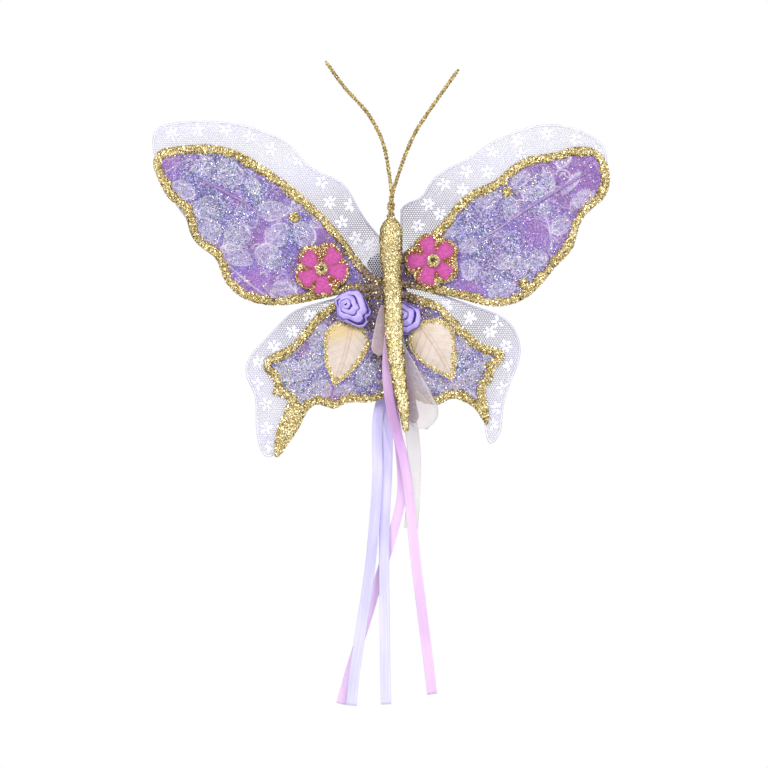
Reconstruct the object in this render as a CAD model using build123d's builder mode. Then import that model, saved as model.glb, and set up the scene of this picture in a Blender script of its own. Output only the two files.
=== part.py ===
from build123d import *
import os
from math import acos, cos, degrees, pi, radians, sin, tan

os.makedirs("parts", exist_ok=True)

# Clip-on butterfly ornament, in millimetres. +Z is up and the front faces -Y.
# The origin is the middle of the clip's grip. The heart is the point behind the body
# from which wings, bow and clip are laid out.

# Wings: reach runs outwards from the fold line, rise and drop from the heart's level.
fore_left_reach = 77.3
fore_left_rise = 53.3
fore_right_reach = 69.5
fore_right_rise = 53.3
hind_left_reach = 40.7
hind_left_drop = 52.3
hind_right_reach = 34.7
hind_right_drop = 41.3
cloth_thickness = 0.6
lace_thickness = 0.4
border_width = 2.8
border_thickness = 1.0
border_points = 48
spar_width = 1.0
spar_height = 0.6
fold_gap = 0.35
net_pitch = 2.6
net_hole = 0.9

# Middle strip, glue and clip pad
strip_width = 4.4
strip_top = 20.0
strip_bottom = 31.5
glue_top = 14.0
glue_bottom = 3.0
glue_width = 3.8
pad_thickness = 3.4
pad_top = 11.0
pad_bottom = 1.0
pad_width = 4.0

# Body and antennae
torso_length = 71.3
torso_top = 27.3
torso_standoff = 8.0
torso_radius = 3.83
torso_lean = 4.8
torso_offset = 0.83
socket_depth = 5.0
socket_clearance = 0.15
wire_radius = 0.7
wire_gap = 0.4
twist_height = 7.0
twist_turns = 1
antenna_left_spread = 21.5
antenna_left_height = 44.4
antenna_right_spread = 22.8
antenna_right_height = 42.0

# Flowers, leaves and roses
flower_radius = 9.6
flower_thickness = 1.2
flower_stem_radius = 2.2
flower_lift = 0.1
bead_radius = 2.1
bead_hole = 0.7
bead_height = 1.3
leaf_length = 22.0
leaf_width = 15.0
leaf_thickness = 1.2
leaf_rib_height = 0.3
rose_left_radius = 6.0
rose_left_height = 4.4
rose_right_radius = 5.2
rose_right_height = 4.2
rose_wall = 0.5
rose_gap = 0.6
rose_foot = 0.8
rose_trim_clearance = 0.5

# Bow
ribbon_width = 3.2
ribbon_thickness = 0.4
organza_tail_width = 4.4
organza_thickness = 0.3
knot_width = 3.6
knot_height = 7.6
knot_top = 3.6
knot_depth = 4.0
knot_softening = 1.0

# Clip
clip_length = 32.0
clip_tilt = 31.0
tab_width = 8.0
tip_width = 4.6
tab_end_x = -6.2
tab_end_z = 15.1
arm_thickness = 0.8
pivot_reach = 12.5
tab_spread = 7.4
tip_gap = 0.25
grip_reach = 25.0
pin_radius = 0.8
pin_clearance = 0.05
pin_head_radius = 1.4
pin_head_height = 0.5
ear_thickness = 0.7
arm_ear_radius = 2.0
jaw_ear_radius = 1.6
ear_gap = 0.15
spring_wire = 0.6
spring_radius = 1.6
spring_pitch = 1.1
spring_turns = 2
spring_leg = 7.0
spring_clearance = 0.1

overrun = 20.0

# Planes and places that follow from the sizes
fold_x = strip_width / 2 + fold_gap / 2
root_x = strip_width / 2 + fold_gap
clip_front = lace_thickness + pad_thickness
pivot_lift = arm_thickness + spring_radius + spring_wire / 2 + spring_clearance
coil_top = pivot_lift + spring_radius + spring_wire / 2
jaw_inner = coil_top + spring_clearance
jaw_slope = (jaw_inner - arm_thickness - tip_gap) / (clip_length - pivot_reach)
grip_gap = tip_gap + jaw_slope * (clip_length - grip_reach)
grip_x = tab_end_x + grip_reach * sin(radians(clip_tilt))
grip_z = tab_end_z - grip_reach * cos(radians(clip_tilt))
grip_y = clip_front + arm_thickness + grip_gap / 2
heart = Vector(-grip_x, -grip_y, -grip_z)


def spot(x, y, z):
    """A point given from the heart: x to the right, y to the back, z up."""
    return heart + Vector(x, y, z)


def front_plane(depth, x=0, z=0):
    """A plane facing the front, with x to the right and y up, at a depth behind the heart."""
    return Plane(spot(x, depth, z), x_dir=(1, 0, 0), z_dir=(0, -1, 0))


def line_length(path):
    return sum(edge.length for edge in path.edges())


def write(piece, name):
    piece.part.label = name
    export_step(piece.part, f"parts/{name}.step")


# Wing outlines, in shares of reach and rise or drop, one list for each smooth run
fore_left_shares = [[
    (0, 0.125), (0.052, 0.15), (0.112, 0.238), (0.177, 0.375), (0.284, 0.55), (0.414, 0.719),
    (0.543, 0.85), (0.651, 0.934), (0.78, 0.969), (0.909, 0.956), (0.978, 0.925), (1, 0.869),
    (0.978, 0.75), (0.931, 0.631), (0.871, 0.556), (0.849, 0.45), (0.802, 0.338), (0.728, 0.25),
    (0.703, 0.15), (0.634, 0.031), (0.491, -0.031), (0.328, -0.006), (0.177, 0.041), (0, 0.056),
]]
fore_right_shares = [[
    (0, 0.275), (0.096, 0.369), (0.192, 0.469), (0.264, 0.588), (0.36, 0.688), (0.446, 0.738),
    (0.528, 0.825), (0.624, 0.894), (0.743, 0.919), (0.854, 0.956), (0.95, 0.925), (1, 0.806),
    (0.978, 0.644), (0.892, 0.538), (0.854, 0.45), (0.83, 0.338), (0.748, 0.213), (0.681, 0.106),
    (0.614, 0.025), (0.465, -0.038), (0.297, 0.006), (0.144, 0.05), (0, 0.081),
]]
hind_left_shares = [
    [(0, 0.05), (0.213, 0.036), (0.418, -0.019), (0.582, -0.108), (0.705, -0.229),
     (0.844, -0.318), (0.98, -0.38), (1, -0.42), (0.943, -0.49), (0.934, -0.595)],
    [(0.934, -0.595), (0.87, -0.612), (0.795, -0.64)],
    [(0.795, -0.64), (0.861, -0.771), (0.91, -0.93), (0.898, -1), (0.803, -0.917),
     (0.705, -0.803), (0.648, -0.713), (0.557, -0.662), (0.426, -0.69), (0.344, -0.662),
     (0.172, -0.65), (0, -0.611)],
]
hind_right_shares = [
    [(0, 0.09), (0.192, 0.03), (0.385, -0.04), (0.548, -0.169), (0.692, -0.29),
     (0.837, -0.371), (0.981, -0.419), (1, -0.46), (0.913, -0.548), (0.875, -0.653),
     (0.817, -0.694)],
    [(0.817, -0.694), (0.827, -0.806), (0.851, -0.919), (0.837, -1), (0.74, -0.895),
     (0.625, -0.823), (0.5, -0.794), (0.375, -0.839), (0.192, -0.815), (0, -0.758)],
]
fore_left_lace_shares = [[
    (0, 0.356), (0.06, 0.444), (0.125, 0.581), (0.194, 0.731), (0.263, 0.781), (0.349, 0.856),
    (0.414, 0.963), (0.509, 1.038), (0.616, 1.088), (0.759, 1.113), (0.922, 1.1), (0.987, 1.063),
    (1.002, 0.969), (0.983, 0.844), (0.94, 0.69), (0.836, 0.47), (0.737, 0.28), (0.629, 0.085),
    (0.491, 0.006), (0.284, 0.03), (0, 0.075),
]]
fore_right_lace_shares = [[
    (0, 0.544), (0.038, 0.6), (0.101, 0.638), (0.149, 0.731), (0.24, 0.825), (0.345, 0.894),
    (0.417, 0.963), (0.528, 1.031), (0.647, 1.084), (0.777, 1.088), (0.892, 1.038), (0.969, 0.963),
    (0.988, 0.875), (0.964, 0.688), (0.854, 0.531), (0.811, 0.363), (0.671, 0.144), (0.48, 0),
    (0.288, 0.044), (0, 0.1),
]]
hind_left_lace_shares = [[
    (0, 0.065), (0.2, 0.045), (0.4, 0.008), (0.623, -0.038), (0.746, -0.076), (0.885, -0.172), (1.016, -0.28),
    (1.123, -0.389), (1.139, -0.465), (1.074, -0.592), (1.057, -0.732), (1.041, -0.892),
    (0.967, -0.994), (0.877, -0.955), (0.811, -0.828), (0.705, -0.701), (0.557, -0.631),
    (0.295, -0.618), (0, -0.58),
]]
hind_right_lace_shares = [[
    (0, 0.112), (0.288, 0.066), (0.577, -0.016), (0.817, -0.085), (1.01, -0.161), (1.125, -0.298),
    (1.144, -0.444), (1.077, -0.613), (1, -0.79), (0.971, -0.952), (0.933, -1.1), (0.875, -1.15),
    (0.827, -1.048), (0.798, -0.935), (0.702, -0.839), (0.529, -0.774), (0.288, -0.782), (0, -0.718),
]]
# Raised tuck that holds the stiffening wire of a forewing: start, middle, end
fore_left_spar_shares = [(0.39, 0.425), (0.58, 0.59), (0.81, 0.74)]
fore_right_spar_shares = [(0.29, 0.33), (0.58, 0.575), (0.91, 0.8)]


def wing_point(share, side, reach, rise):
    return (side * (fold_x + share[0] * reach), share[1] * rise)


def wing_face(shares, side, reach, rise):
    """The closed outline, carried past the fold line so that its edges run straight into the root."""
    inner_x = fold_x - border_width - fold_gap
    first = wing_point(shares[0][0], side, reach, rise)
    last = wing_point(shares[-1][-1], side, reach, rise)
    with BuildLine() as edge:
        for run in shares:
            Spline(*[wing_point(share, side, reach, rise) for share in run])
        Polyline(last, (side * inner_x, last[1]), (side * inner_x, first[1]), first)
    make_face(edge.edges())


def cut_root():
    """Leaves the room of the middle strip and the fold free."""
    Rectangle(2 * root_x, 4 * (fore_left_rise + hind_left_drop), mode=Mode.SUBTRACT)


def make_panel(name, shares, side, reach, rise):
    with BuildPart() as panel:
        with BuildSketch(front_plane(0)):
            wing_face(shares, side, reach, rise)
            cut_root()
        extrude(amount=cloth_thickness)
    write(panel, name)


def make_border(name, shares, side, reach, rise):
    """A raised band along the outline. Its inner edge is a smooth line one border width inside."""
    with BuildPart() as border:
        with BuildSketch(front_plane(-cloth_thickness)) as ring:
            wing_face(shares, side, reach, rise)
            inner = ring.sketch_local.face().outer_wire().offset_2d(-border_width)
            with BuildLine():
                Spline(*[inner.position_at(k / border_points) for k in range(border_points)], periodic=True)
            make_face(mode=Mode.SUBTRACT)
            cut_root()
        extrude(amount=border_thickness)
    write(border, name)


def net_places(shares, lace_shares, side, reach, rise):
    """Places of the net's gaps: a staggered grid, kept where lace stands clear of the wing."""
    with BuildSketch() as lace:
        wing_face(lace_shares, side, reach, rise)
        offset(lace.sketch_local.faces(), amount=-net_pitch / 3, mode=Mode.REPLACE)
        cut_root()
    with BuildSketch() as wing:
        wing_face(shares, side, reach, rise)
    clear = lace.sketch.faces()[0]
    cover = wing.sketch.faces()[0]
    box = clear.bounding_box()
    row_step = net_pitch * sin(pi / 3)
    places = []
    for row in range(int(box.size.Y / row_step) + 1):
        shift = net_pitch / 2 * (row % 2)
        for column in range(int(box.size.X / net_pitch) + 1):
            place = Vector(box.min.X + shift + column * net_pitch, box.min.Y + row * row_step, 0)
            rim = [place + Vector(net_hole, 0, 0).rotate(Axis.Z, 60 * k) for k in range(6)]
            if all(clear.is_inside(p) and not cover.is_inside(p) for p in rim):
                places.append(place)
    return places


def make_lace(name, shares, lace_shares, side, reach, rise):
    places = net_places(shares, lace_shares, side, reach, rise)
    print(name, "net gaps:", len(places))
    with BuildPart() as lace:
        with BuildSketch(front_plane(lace_thickness)):
            wing_face(lace_shares, side, reach, rise)
            cut_root()
            with Locations(*places):
                RegularPolygon(net_hole, 6, mode=Mode.SUBTRACT)
        extrude(amount=lace_thickness)
    write(lace, name)


def make_spar(name, spar_shares, side, reach, rise):
    with BuildPart() as spar:
        with BuildSketch(front_plane(-cloth_thickness)):
            with BuildLine():
                ThreePointArc(*[wing_point(share, side, reach, rise) for share in spar_shares])
            trace(line_width=spar_width)
        extrude(amount=spar_height)
        top = spar.faces().sort_by(Axis.Y)[0]
        chamfer(top.edges(), spar_height / 3)
    write(spar, name)


wings = [
    ("fore", "left", -1, fore_left_shares, fore_left_lace_shares, fore_left_reach, fore_left_rise),
    ("fore", "right", 1, fore_right_shares, fore_right_lace_shares, fore_right_reach, fore_right_rise),
    ("hind", "left", -1, hind_left_shares, hind_left_lace_shares, hind_left_reach, hind_left_drop),
    ("hind", "right", 1, hind_right_shares, hind_right_lace_shares, hind_right_reach, hind_right_drop),
]
for wing, hand, side, shares, lace_shares, reach, rise in wings:
    make_panel(f"{wing}_wing_{hand}", shares, side, reach, rise)
    make_border(f"{wing}_border_{hand}", shares, side, reach, rise)
    make_lace(f"{wing}_lace_{hand}", shares, lace_shares, side, reach, rise)
make_spar("fore_spar_left", fore_left_spar_shares, -1, fore_left_reach, fore_left_rise)
make_spar("fore_spar_right", fore_right_spar_shares, 1, fore_right_reach, fore_right_rise)


# Felt flowers: five rounded petals on a short stem, with a ringed bead in the middle
flower_left_place = wing_point((0.276, 0.194), -1, fore_left_reach, fore_left_rise)
flower_right_place = wing_point((0.158, 0.244), 1, fore_right_reach, fore_right_rise)
flower_back = -cloth_thickness - border_thickness - flower_lift
petal_count = 5
petal_core_share = 0.74
petal_reach_share = 0.6
petal_length_share = 0.4
petal_width_share = 0.43


def make_flower(name, place, turn):
    x, z = place
    with BuildPart() as flower:
        with BuildSketch(front_plane(flower_back, x, z)):
            Circle(flower_radius * petal_core_share)
            with PolarLocations(flower_radius * petal_reach_share, petal_count, start_angle=turn):
                Ellipse(flower_radius * petal_length_share, flower_radius * petal_width_share)
        extrude(amount=flower_thickness)
        top = flower.faces().sort_by(Axis.Y)[0]
        chamfer(top.edges(), flower_thickness / 3)
        with BuildSketch(front_plane(-cloth_thickness, x, z)):
            Circle(flower_stem_radius)
        extrude(amount=border_thickness + flower_lift)
    write(flower, name)


def make_bead(name, place):
    x, z = place
    with BuildPart() as bead:
        with BuildSketch(front_plane(flower_back - flower_thickness, x, z)):
            Circle(bead_radius)
            Circle(bead_hole, mode=Mode.SUBTRACT)
        extrude(amount=bead_height)
        top = bead.faces().sort_by(Axis.Y)[0]
        fillet(top.edges(), bead_height / 3)
    write(bead, name)


make_flower("flower_left", flower_left_place, -10)
make_flower("flower_right", flower_right_place, 36)
make_bead("flower_centre_left", flower_left_place)
make_bead("flower_centre_right", flower_right_place)


# Leaves: a pointed oval, stem end up, with a raised midrib
leaf_left_place = wing_point((0.279, -0.14), -1, hind_left_reach, hind_left_drop)
leaf_right_place = wing_point((0.21, -0.175), 1, hind_right_reach, hind_right_drop)
leaf_belly_share = 0.4
leaf_shoulder_share = 0.43
leaf_rib_share = 0.06


def make_leaf(name, place, turn):
    x, z = place
    along = Vector(cos(radians(turn)), 0, sin(radians(turn)))
    base = Plane(spot(x, -cloth_thickness, z), x_dir=along, z_dir=(0, -1, 0))
    belly = leaf_length * leaf_belly_share
    with BuildPart() as leaf:
        with BuildSketch(base):
            with BuildLine():
                right = ThreePointArc((0, 0), (leaf_width * leaf_shoulder_share, -belly / 3), (leaf_width / 2, -belly))
                TangentArc(right @ 1, (0, -leaf_length), tangent=right % 1)
                left = ThreePointArc((0, 0), (-leaf_width * leaf_shoulder_share, -belly / 3), (-leaf_width / 2, -belly))
                TangentArc(left @ 1, (0, -leaf_length), tangent=left % 1)
            make_face()
        extrude(amount=leaf_thickness)
        with BuildSketch(base):
            with BuildLine():
                Line((0, -leaf_length * leaf_rib_share), (0, -leaf_length * (1 - 2 * leaf_rib_share)))
            trace(line_width=leaf_length * leaf_rib_share)
        extrude(amount=leaf_thickness + leaf_rib_height)
    write(leaf, name)


make_leaf("leaf_left", leaf_left_place, -15.5)
make_leaf("leaf_right", leaf_right_place, 28)


# Ribbon roses: a coiled strip in the middle of petals that open outwards, every other one tucked in
rose_left_place = wing_point((0.29, -0.05), -1, hind_left_reach, hind_left_drop)
rose_right_place = wing_point((0.035, -0.145), 1, hind_right_reach, hind_right_drop)
rose_petals = 6
rose_petal_arc = 78
rose_tuck_share = 0.86
rose_half_turns = 5
rose_foot_share = 0.55
rose_throat_share = 0.66


def make_rose(name, place, seat, rose_radius, rose_height, trimmed):
    x, z = place
    face = front_plane(seat, x, z)
    step = rose_wall + rose_gap
    foot = rose_radius * rose_foot_share
    throat = rose_radius * rose_throat_share
    with BuildPart() as rose:
        with BuildSketch(face):
            Circle(foot)
        extrude(amount=rose_foot)
        with BuildSketch(face):
            with BuildLine():
                arc = JernArc((step / 2, 0), (0, 1), step / 2, 180)
                for half in range(2, rose_half_turns + 1):
                    arc = JernArc(arc @ 1, arc % 1, half * step / 2, 180)
            trace(line_width=rose_wall)
        extrude(amount=rose_height)
        for petal in range(rose_petals):
            tuck = rose_tuck_share if petal % 2 else 1
            out = Vector(1, 0, 0).rotate(Axis((0, 0, 0), (0, -1, 0)), petal * 360 / rose_petals)
            across = Vector(0, -1, 0).cross(out)
            with BuildSketch(Plane(spot(x, seat, z), x_dir=out, z_dir=across * -1)):
                with BuildLine():
                    low = (foot - rose_wall, 0)
                    mid = (throat * tuck, rose_height / 2)
                    lip = rose_radius * tuck
                    tip = (lip - rose_wall, rose_height - rose_wall)
                    ThreePointArc(low, mid, tip)
                    Line(tip, (lip, tip[1] - rose_wall))
                    ThreePointArc((lip, tip[1] - rose_wall), (mid[0] + rose_wall, mid[1] - rose_wall), (foot, 0))
                    Line((foot, 0), low)
                make_face()
            revolve(axis=Axis(spot(x, seat, z), (0, -1, 0)), revolution_arc=rose_petal_arc)
        if trimmed:
            edge = fold_x + rose_trim_clearance
            with BuildSketch(front_plane(seat, edge - overrun / 2, z)):
                Rectangle(overrun, 4 * rose_radius)
            extrude(amount=2 * rose_height, mode=Mode.SUBTRACT)
    write(rose, name)


make_rose("rose_left", rose_left_place, -cloth_thickness - border_thickness,
          rose_left_radius, rose_left_height, False)
make_rose("rose_right", rose_right_place, -cloth_thickness, rose_right_radius, rose_right_height, True)


# Body: round sections down the rolled felt, in shares of its length, radius and lean
torso_shares = [
    (0, 0.48, -0.02), (0.035, 0.87, -0.01), (0.1, 1, 0), (0.2, 0.89, 0.04), (0.3, 0.8, 0.1),
    (0.45, 0.8, 0.21), (0.6, 0.775, 0.3), (0.75, 0.7, 0.5), (0.87, 0.6, 0.79), (0.95, 0.39, 0.94),
    (1, 0.16, 1),
]
stem_radius = wire_radius + wire_gap / 2
stem_x = -torso_offset
socket_radius = stem_radius + wire_radius + socket_clearance
with BuildPart() as torso:
    for along_share, radius_share, lean_share in torso_shares:
        level = heart.Z + torso_top - torso_length * along_share
        with BuildSketch(Plane.XY.offset(level)):
            with Locations((heart.X - torso_offset + torso_lean * lean_share, heart.Y - torso_standoff)):
                Circle(torso_radius * radius_share)
    loft()
    with BuildSketch(Plane(spot(stem_x, -torso_standoff, torso_top - socket_depth))):
        Circle(socket_radius)
    extrude(amount=socket_depth + overrun, mode=Mode.SUBTRACT)
write(torso, "torso")


def biarcs(points, first, last):
    """Pairs of tangent arcs through the points. Each tangent is that of the points beside it."""
    tangents = [first.normalized()]
    for before, after in zip(points, points[2:]):
        tangents.append((after - before).normalized())
    tangents.append(last.normalized())
    for p, q, t, u in zip(points, points[1:], tangents, tangents[1:]):
        chord = q - p
        both = t + u
        square = both.dot(both) - 4
        half = chord.dot(both)
        if abs(square) < 1e-9:
            reach = chord.dot(chord) / (2 * half)
        else:
            reach = (half - (half * half - square * chord.dot(chord)) ** 0.5) / square
        inner = p + t * reach
        outer = q - u * reach
        middle = (inner + outer) * 0.5
        for a, b, way in ((p, middle, t), (middle, q, outer - inner)):
            if way.cross(b - a).length < 1e-6 * (b - a).length:
                Line(a, b)
            else:
                TangentArc(a, b, tangent=way)


# Antennae: points in shares of spread and height, above the fork
antenna_left_shares = [(0.054, 0.203), (0.237, 0.489), (0.633, 0.766), (1, 1)]
antenna_right_shares = [(0.126, 0.2), (0.378, 0.517), (0.689, 0.779), (1, 1)]
quarters = 4 * twist_turns


def make_antenna(name, side, spread, height, shares):
    """A wire that stands in the head, winds once round its twin and bends outwards."""
    foot = torso_top - socket_depth + socket_clearance
    start = 180 if side < 0 else 0
    points = [spot(stem_x + side * stem_radius, -torso_standoff, foot)]
    for quarter in range(quarters + 1):
        turn = radians(start + 90 * quarter)
        level = torso_top + twist_height * quarter / quarters
        points.append(spot(stem_x + stem_radius * cos(turn), -torso_standoff + stem_radius * sin(turn), level))
    for out_share, up_share in shares:
        points.append(spot(stem_x + side * (stem_radius + out_share * spread), -torso_standoff,
                           torso_top + twist_height + up_share * height))
    with BuildPart() as antenna:
        with BuildLine() as path:
            biarcs(points, Vector(0, 0, 1), points[-1] - points[-2])
        with BuildSketch(Plane(points[0])):
            Circle(wire_radius)
        sweep(path=path.line)
    write(antenna, name)
    print(name, "volume over section times length:",
          round(antenna.part.volume / (pi * wire_radius**2 * line_length(path)), 3))


make_antenna("antenna_left", -1, antenna_left_spread, antenna_left_height, antenna_left_shares)
make_antenna("antenna_right", 1, antenna_right_spread, antenna_right_height, antenna_right_shares)


# Felt strip down the middle, the glue that carries the body, and the pad under the clip
with BuildPart() as backing_strip:
    with BuildSketch(front_plane(lace_thickness, 0, (strip_top - strip_bottom) / 2)):
        RectangleRounded(strip_width, strip_top + strip_bottom, strip_width / 4)
    extrude(amount=cloth_thickness + lace_thickness)
write(backing_strip, "backing_strip")

with BuildPart() as glue_block:
    with BuildSketch(front_plane(-cloth_thickness, 0, (glue_top + glue_bottom) / 2)):
        RectangleRounded(glue_width, glue_top - glue_bottom, glue_width / 4)
    extrude(amount=torso_standoff - cloth_thickness)
    add(torso.part, mode=Mode.SUBTRACT)
write(glue_block, "glue_block")

with BuildPart() as clip_pad:
    with BuildSketch(front_plane(clip_front, 0, (pad_top + pad_bottom) / 2)):
        RectangleRounded(pad_width, pad_top - pad_bottom, pad_width / 5)
    extrude(amount=pad_thickness)
write(clip_pad, "clip_pad")


# Bow: knot, flattened loops and hanging tails
with BuildPart() as ribbon_knot:
    with BuildSketch(front_plane(-cloth_thickness, 0, -knot_top - knot_height / 2)):
        RectangleRounded(knot_width, knot_height, knot_softening)
    extrude(amount=knot_depth)
    fillet(ribbon_knot.faces().sort_by(Axis.Y)[0].edges(), knot_softening / 2)
write(ribbon_knot, "ribbon_knot")

# Loops, seen from the front: root and end circles (x, z, radius), and the depths of both
organza_left_root = (-3.0, -3.2, 0.8)
organza_left_end = (-4.6, -15.8, 2.6)
organza_left_depths = (-2.4, -2.45)
organza_right_root = (1.0, -12.2, 0.6)
organza_right_end = (9.3, -37.0, 5.7)
organza_right_depths = (-4.25, -4.95)
pink_loop_root = (2.0, -12.3, 0.6)
pink_loop_end = (6.5, -38.6, 2.1)
pink_loop_depths = (-3.2, -3.85)
loop_root_bulge = 0.4
loop_end_bulge = 0.5


def make_loop(name, root, end, depths, thickness):
    """A ribbon loop: the front outline of a drop, cut from a band that runs out and back."""
    near = spot(root[0], depths[0], root[1])
    far = spot(end[0], depths[1], end[1])
    out = far - near
    across = Vector(0, -1, 0).cross(out).normalized()
    side = Plane(near, x_dir=out, z_dir=across)
    span = root[2] + end[2]
    with BuildPart() as loop:
        with BuildSketch(side) as band:
            with Locations((0, 0)):
                Circle(loop_root_bulge)
            with Locations((out.length + end[2] - loop_end_bulge, 0)):
                Circle(loop_end_bulge)
            make_hull()
            offset(band.sketch_local.faces(), amount=-thickness, mode=Mode.SUBTRACT)
        extrude(amount=span, both=True)
        with BuildSketch(front_plane(0)):
            with Locations(root[:2]):
                Circle(root[2])
            with Locations(end[:2]):
                Circle(end[2])
            make_hull()
        extrude(amount=overrun, mode=Mode.INTERSECT)
    write(loop, name)


make_loop("organza_loop_left", organza_left_root, organza_left_end, organza_left_depths, organza_thickness)
make_loop("organza_loop_right", organza_right_root, organza_right_end, organza_right_depths, organza_thickness)
make_loop("pink_loop", pink_loop_root, pink_loop_end, pink_loop_depths, organza_thickness)

# Routes of the hanging tails, from the heart
pink_right_route = [
    (-1.1, -4.2, -11.4), (-1.8, -4.2, -16.6), (-2.1, -4.3, -25.5), (-1.0, -4.3, -34.7), (1.0, -4.1, -43.3),
    (3.3, -3.9, -51.7), (5.0, -3.8, -61.3), (6.3, -3.7, -75.0), (8.0, -3.7, -90.7), (10.0, -3.6, -106.7),
    (11.7, -3.6, -120.0), (13.0, -3.5, -131.0),
]
pink_left_route = [
    (-0.4, -3.5, -11.4), (-0.9, -3.5, -17.3), (-1.1, -3.55, -27.3), (0.3, -3.5, -37.3), (2.6, -3.3, -46.7),
    (4.2, -3.1, -56.0), (4.0, -3.0, -64.7), (1.7, -2.9, -73.3), (-1.7, -2.8, -83.3), (-5.3, -2.8, -94.7),
    (-9.0, -2.75, -107.3), (-14.3, -2.8, -122.7), (-17.3, -2.8, -134.3),
]
lilac_left_route = [
    (-0.6, 0.62, -22.0), (-1.6, 1.3, -28.0), (-4.0, 2.5, -33.6), (-5.4, 2.7, -40.0), (-5.2, 1.9, -48.0),
    (-4.7, -0.6, -58.0), (-5.0, -3.4, -68.0), (-5.9, -5.2, -79.0), (-7.3, -5.6, -91.0), (-9.6, -5.6, -104.0),
    (-11.8, -5.5, -117.0), (-13.2, -5.4, -126.0), (-13.8, -5.3, -134.5),
]
lilac_middle_route = [
    (0.6, 1.12, -22.0), (0.2, 2.1, -28.5), (-1.2, 3.2, -35.0), (-1.4, 3.3, -43.0), (-1.2, 2.2, -52.0),
    (-1.5, -0.6, -63.0), (-2.1, -3.7, -75.0), (-2.5, -4.4, -86.0), (-2.7, -4.4, -98.0), (-2.6, -4.4, -111.0),
    (-2.3, -4.35, -123.0), (-2.0, -4.3, -134.3),
]
organza_route = [
    (1.0, -2.2, -11.4), (1.8, -2.4, -17.0), (2.8, -2.8, -26.0), (4.6, -3.0, -35.0), (6.3, -2.5, -43.5),
    (7.1, -2.1, -51.5), (7.0, -2.0, -60.0), (6.6, -2.0, -68.5), (6.0, -2.1, -76.0),
]


def bend_radii(points):
    """The largest radius that each corner's two runs allow."""
    radii = []
    for a, b, c in zip(points, points[1:], points[2:]):
        shorter = min((b - a).length, (c - b).length)
        turn = acos(max(-1, min(1, (b - a).normalized().dot((c - b).normalized()))))
        radii.append(0.45 * shorter / tan(turn / 2))
    return radii


def make_tail(name, route, width, thickness):
    """A hanging ribbon that keeps its flat side to the front."""
    points = [spot(*place) for place in route]
    radii = bend_radii(points)
    way = (points[1] - points[0]).normalized()
    with BuildPart() as tail:
        with BuildLine() as path:
            FilletPolyline(*points, radius=radii)
        with BuildSketch(Plane(points[0], x_dir=way.cross(Vector(0, 1, 0)), z_dir=way)):
            Rectangle(width, thickness)
        sweep(path=path.line)
    write(tail, name)
    print(name, "radii:", [round(radius, 1) for radius in radii])
    print(name, "length:", round(line_length(path), 1), "volume over section times length:",
          round(tail.part.volume / (width * thickness * line_length(path)), 3))


make_tail("pink_tail_right", pink_right_route, ribbon_width, ribbon_thickness)
make_tail("pink_tail_left", pink_left_route, ribbon_width, ribbon_thickness)
make_tail("lilac_tail_left", lilac_left_route, ribbon_width, ribbon_thickness)
make_tail("lilac_tail_middle", lilac_middle_route, ribbon_width, ribbon_thickness)
make_tail("organza_tail", organza_route, organza_tail_width, organza_thickness)


# Clip: planes along its length, seen from the back and from its side
clip_along = Vector(sin(radians(clip_tilt)), 0, -cos(radians(clip_tilt)))
clip_across = Vector(cos(radians(clip_tilt)), 0, sin(radians(clip_tilt)))
tab_end = spot(tab_end_x, clip_front, tab_end_z)
clip_face = Plane(tab_end, x_dir=clip_along, z_dir=(0, 1, 0))
pivot = tab_end + clip_along * pivot_reach + Vector(0, pivot_lift, 0)
coil_length = spring_pitch * (spring_turns + 0.5)
jaw_ear_inner = (coil_length + spring_wire) / 2 + ear_gap
jaw_ear_outer = jaw_ear_inner + ear_thickness
arm_ear_inner = jaw_ear_outer + ear_gap
arm_ear_outer = arm_ear_inner + ear_thickness
tab_slope = (tab_spread - jaw_inner) / pivot_reach
tab_corner_share = 0.3


def side_plane(across):
    """The clip seen from its side: x along it, y to the back, at a distance from its middle."""
    return Plane(tab_end + clip_across * across, x_dir=clip_along, z_dir=clip_across)


def arm_outline(waist):
    """The tapered plan of one arm, with rounded corners and half its width at the pin."""
    with BuildLine() as edge:
        Polyline((0, tab_width / 2), (pivot_reach, waist), (clip_length, tip_width / 2),
                 (clip_length, -tip_width / 2), (pivot_reach, -waist), (0, -tab_width / 2), close=True)
    plan = make_face(edge.edges())
    corners = plan.vertices().group_by(Axis.X)
    fillet(corners[0], tab_width * tab_corner_share)
    fillet(corners[-1], tip_width * tab_corner_share)


def add_ears(inner, base, ear_radius):
    """A pair of ears round the pin, standing on the arm's plate."""
    for side in (-1, 1):
        with BuildSketch(side_plane(side * inner)) as ear:
            with Locations((pivot_reach, pivot_lift)):
                Circle(ear_radius)
            with Locations((pivot_reach, (pivot_lift + base) / 2)):
                Rectangle(2 * ear_radius, abs(pivot_lift - base))
        extrude(ear.sketch, amount=side * ear_thickness)


def bore_pin(radius):
    with BuildSketch(side_plane(0)) as bore:
        with Locations((pivot_reach, pivot_lift)):
            Circle(radius)
    extrude(bore.sketch, amount=overrun, both=True, mode=Mode.SUBTRACT)


with BuildPart() as clip_fixed_arm:
    with BuildSketch(clip_face):
        arm_outline(arm_ear_outer)
    extrude(amount=arm_thickness)
    add_ears(arm_ear_inner, arm_thickness, arm_ear_radius)
    bore_pin(pin_radius)
write(clip_fixed_arm, "clip_fixed_arm")

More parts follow.
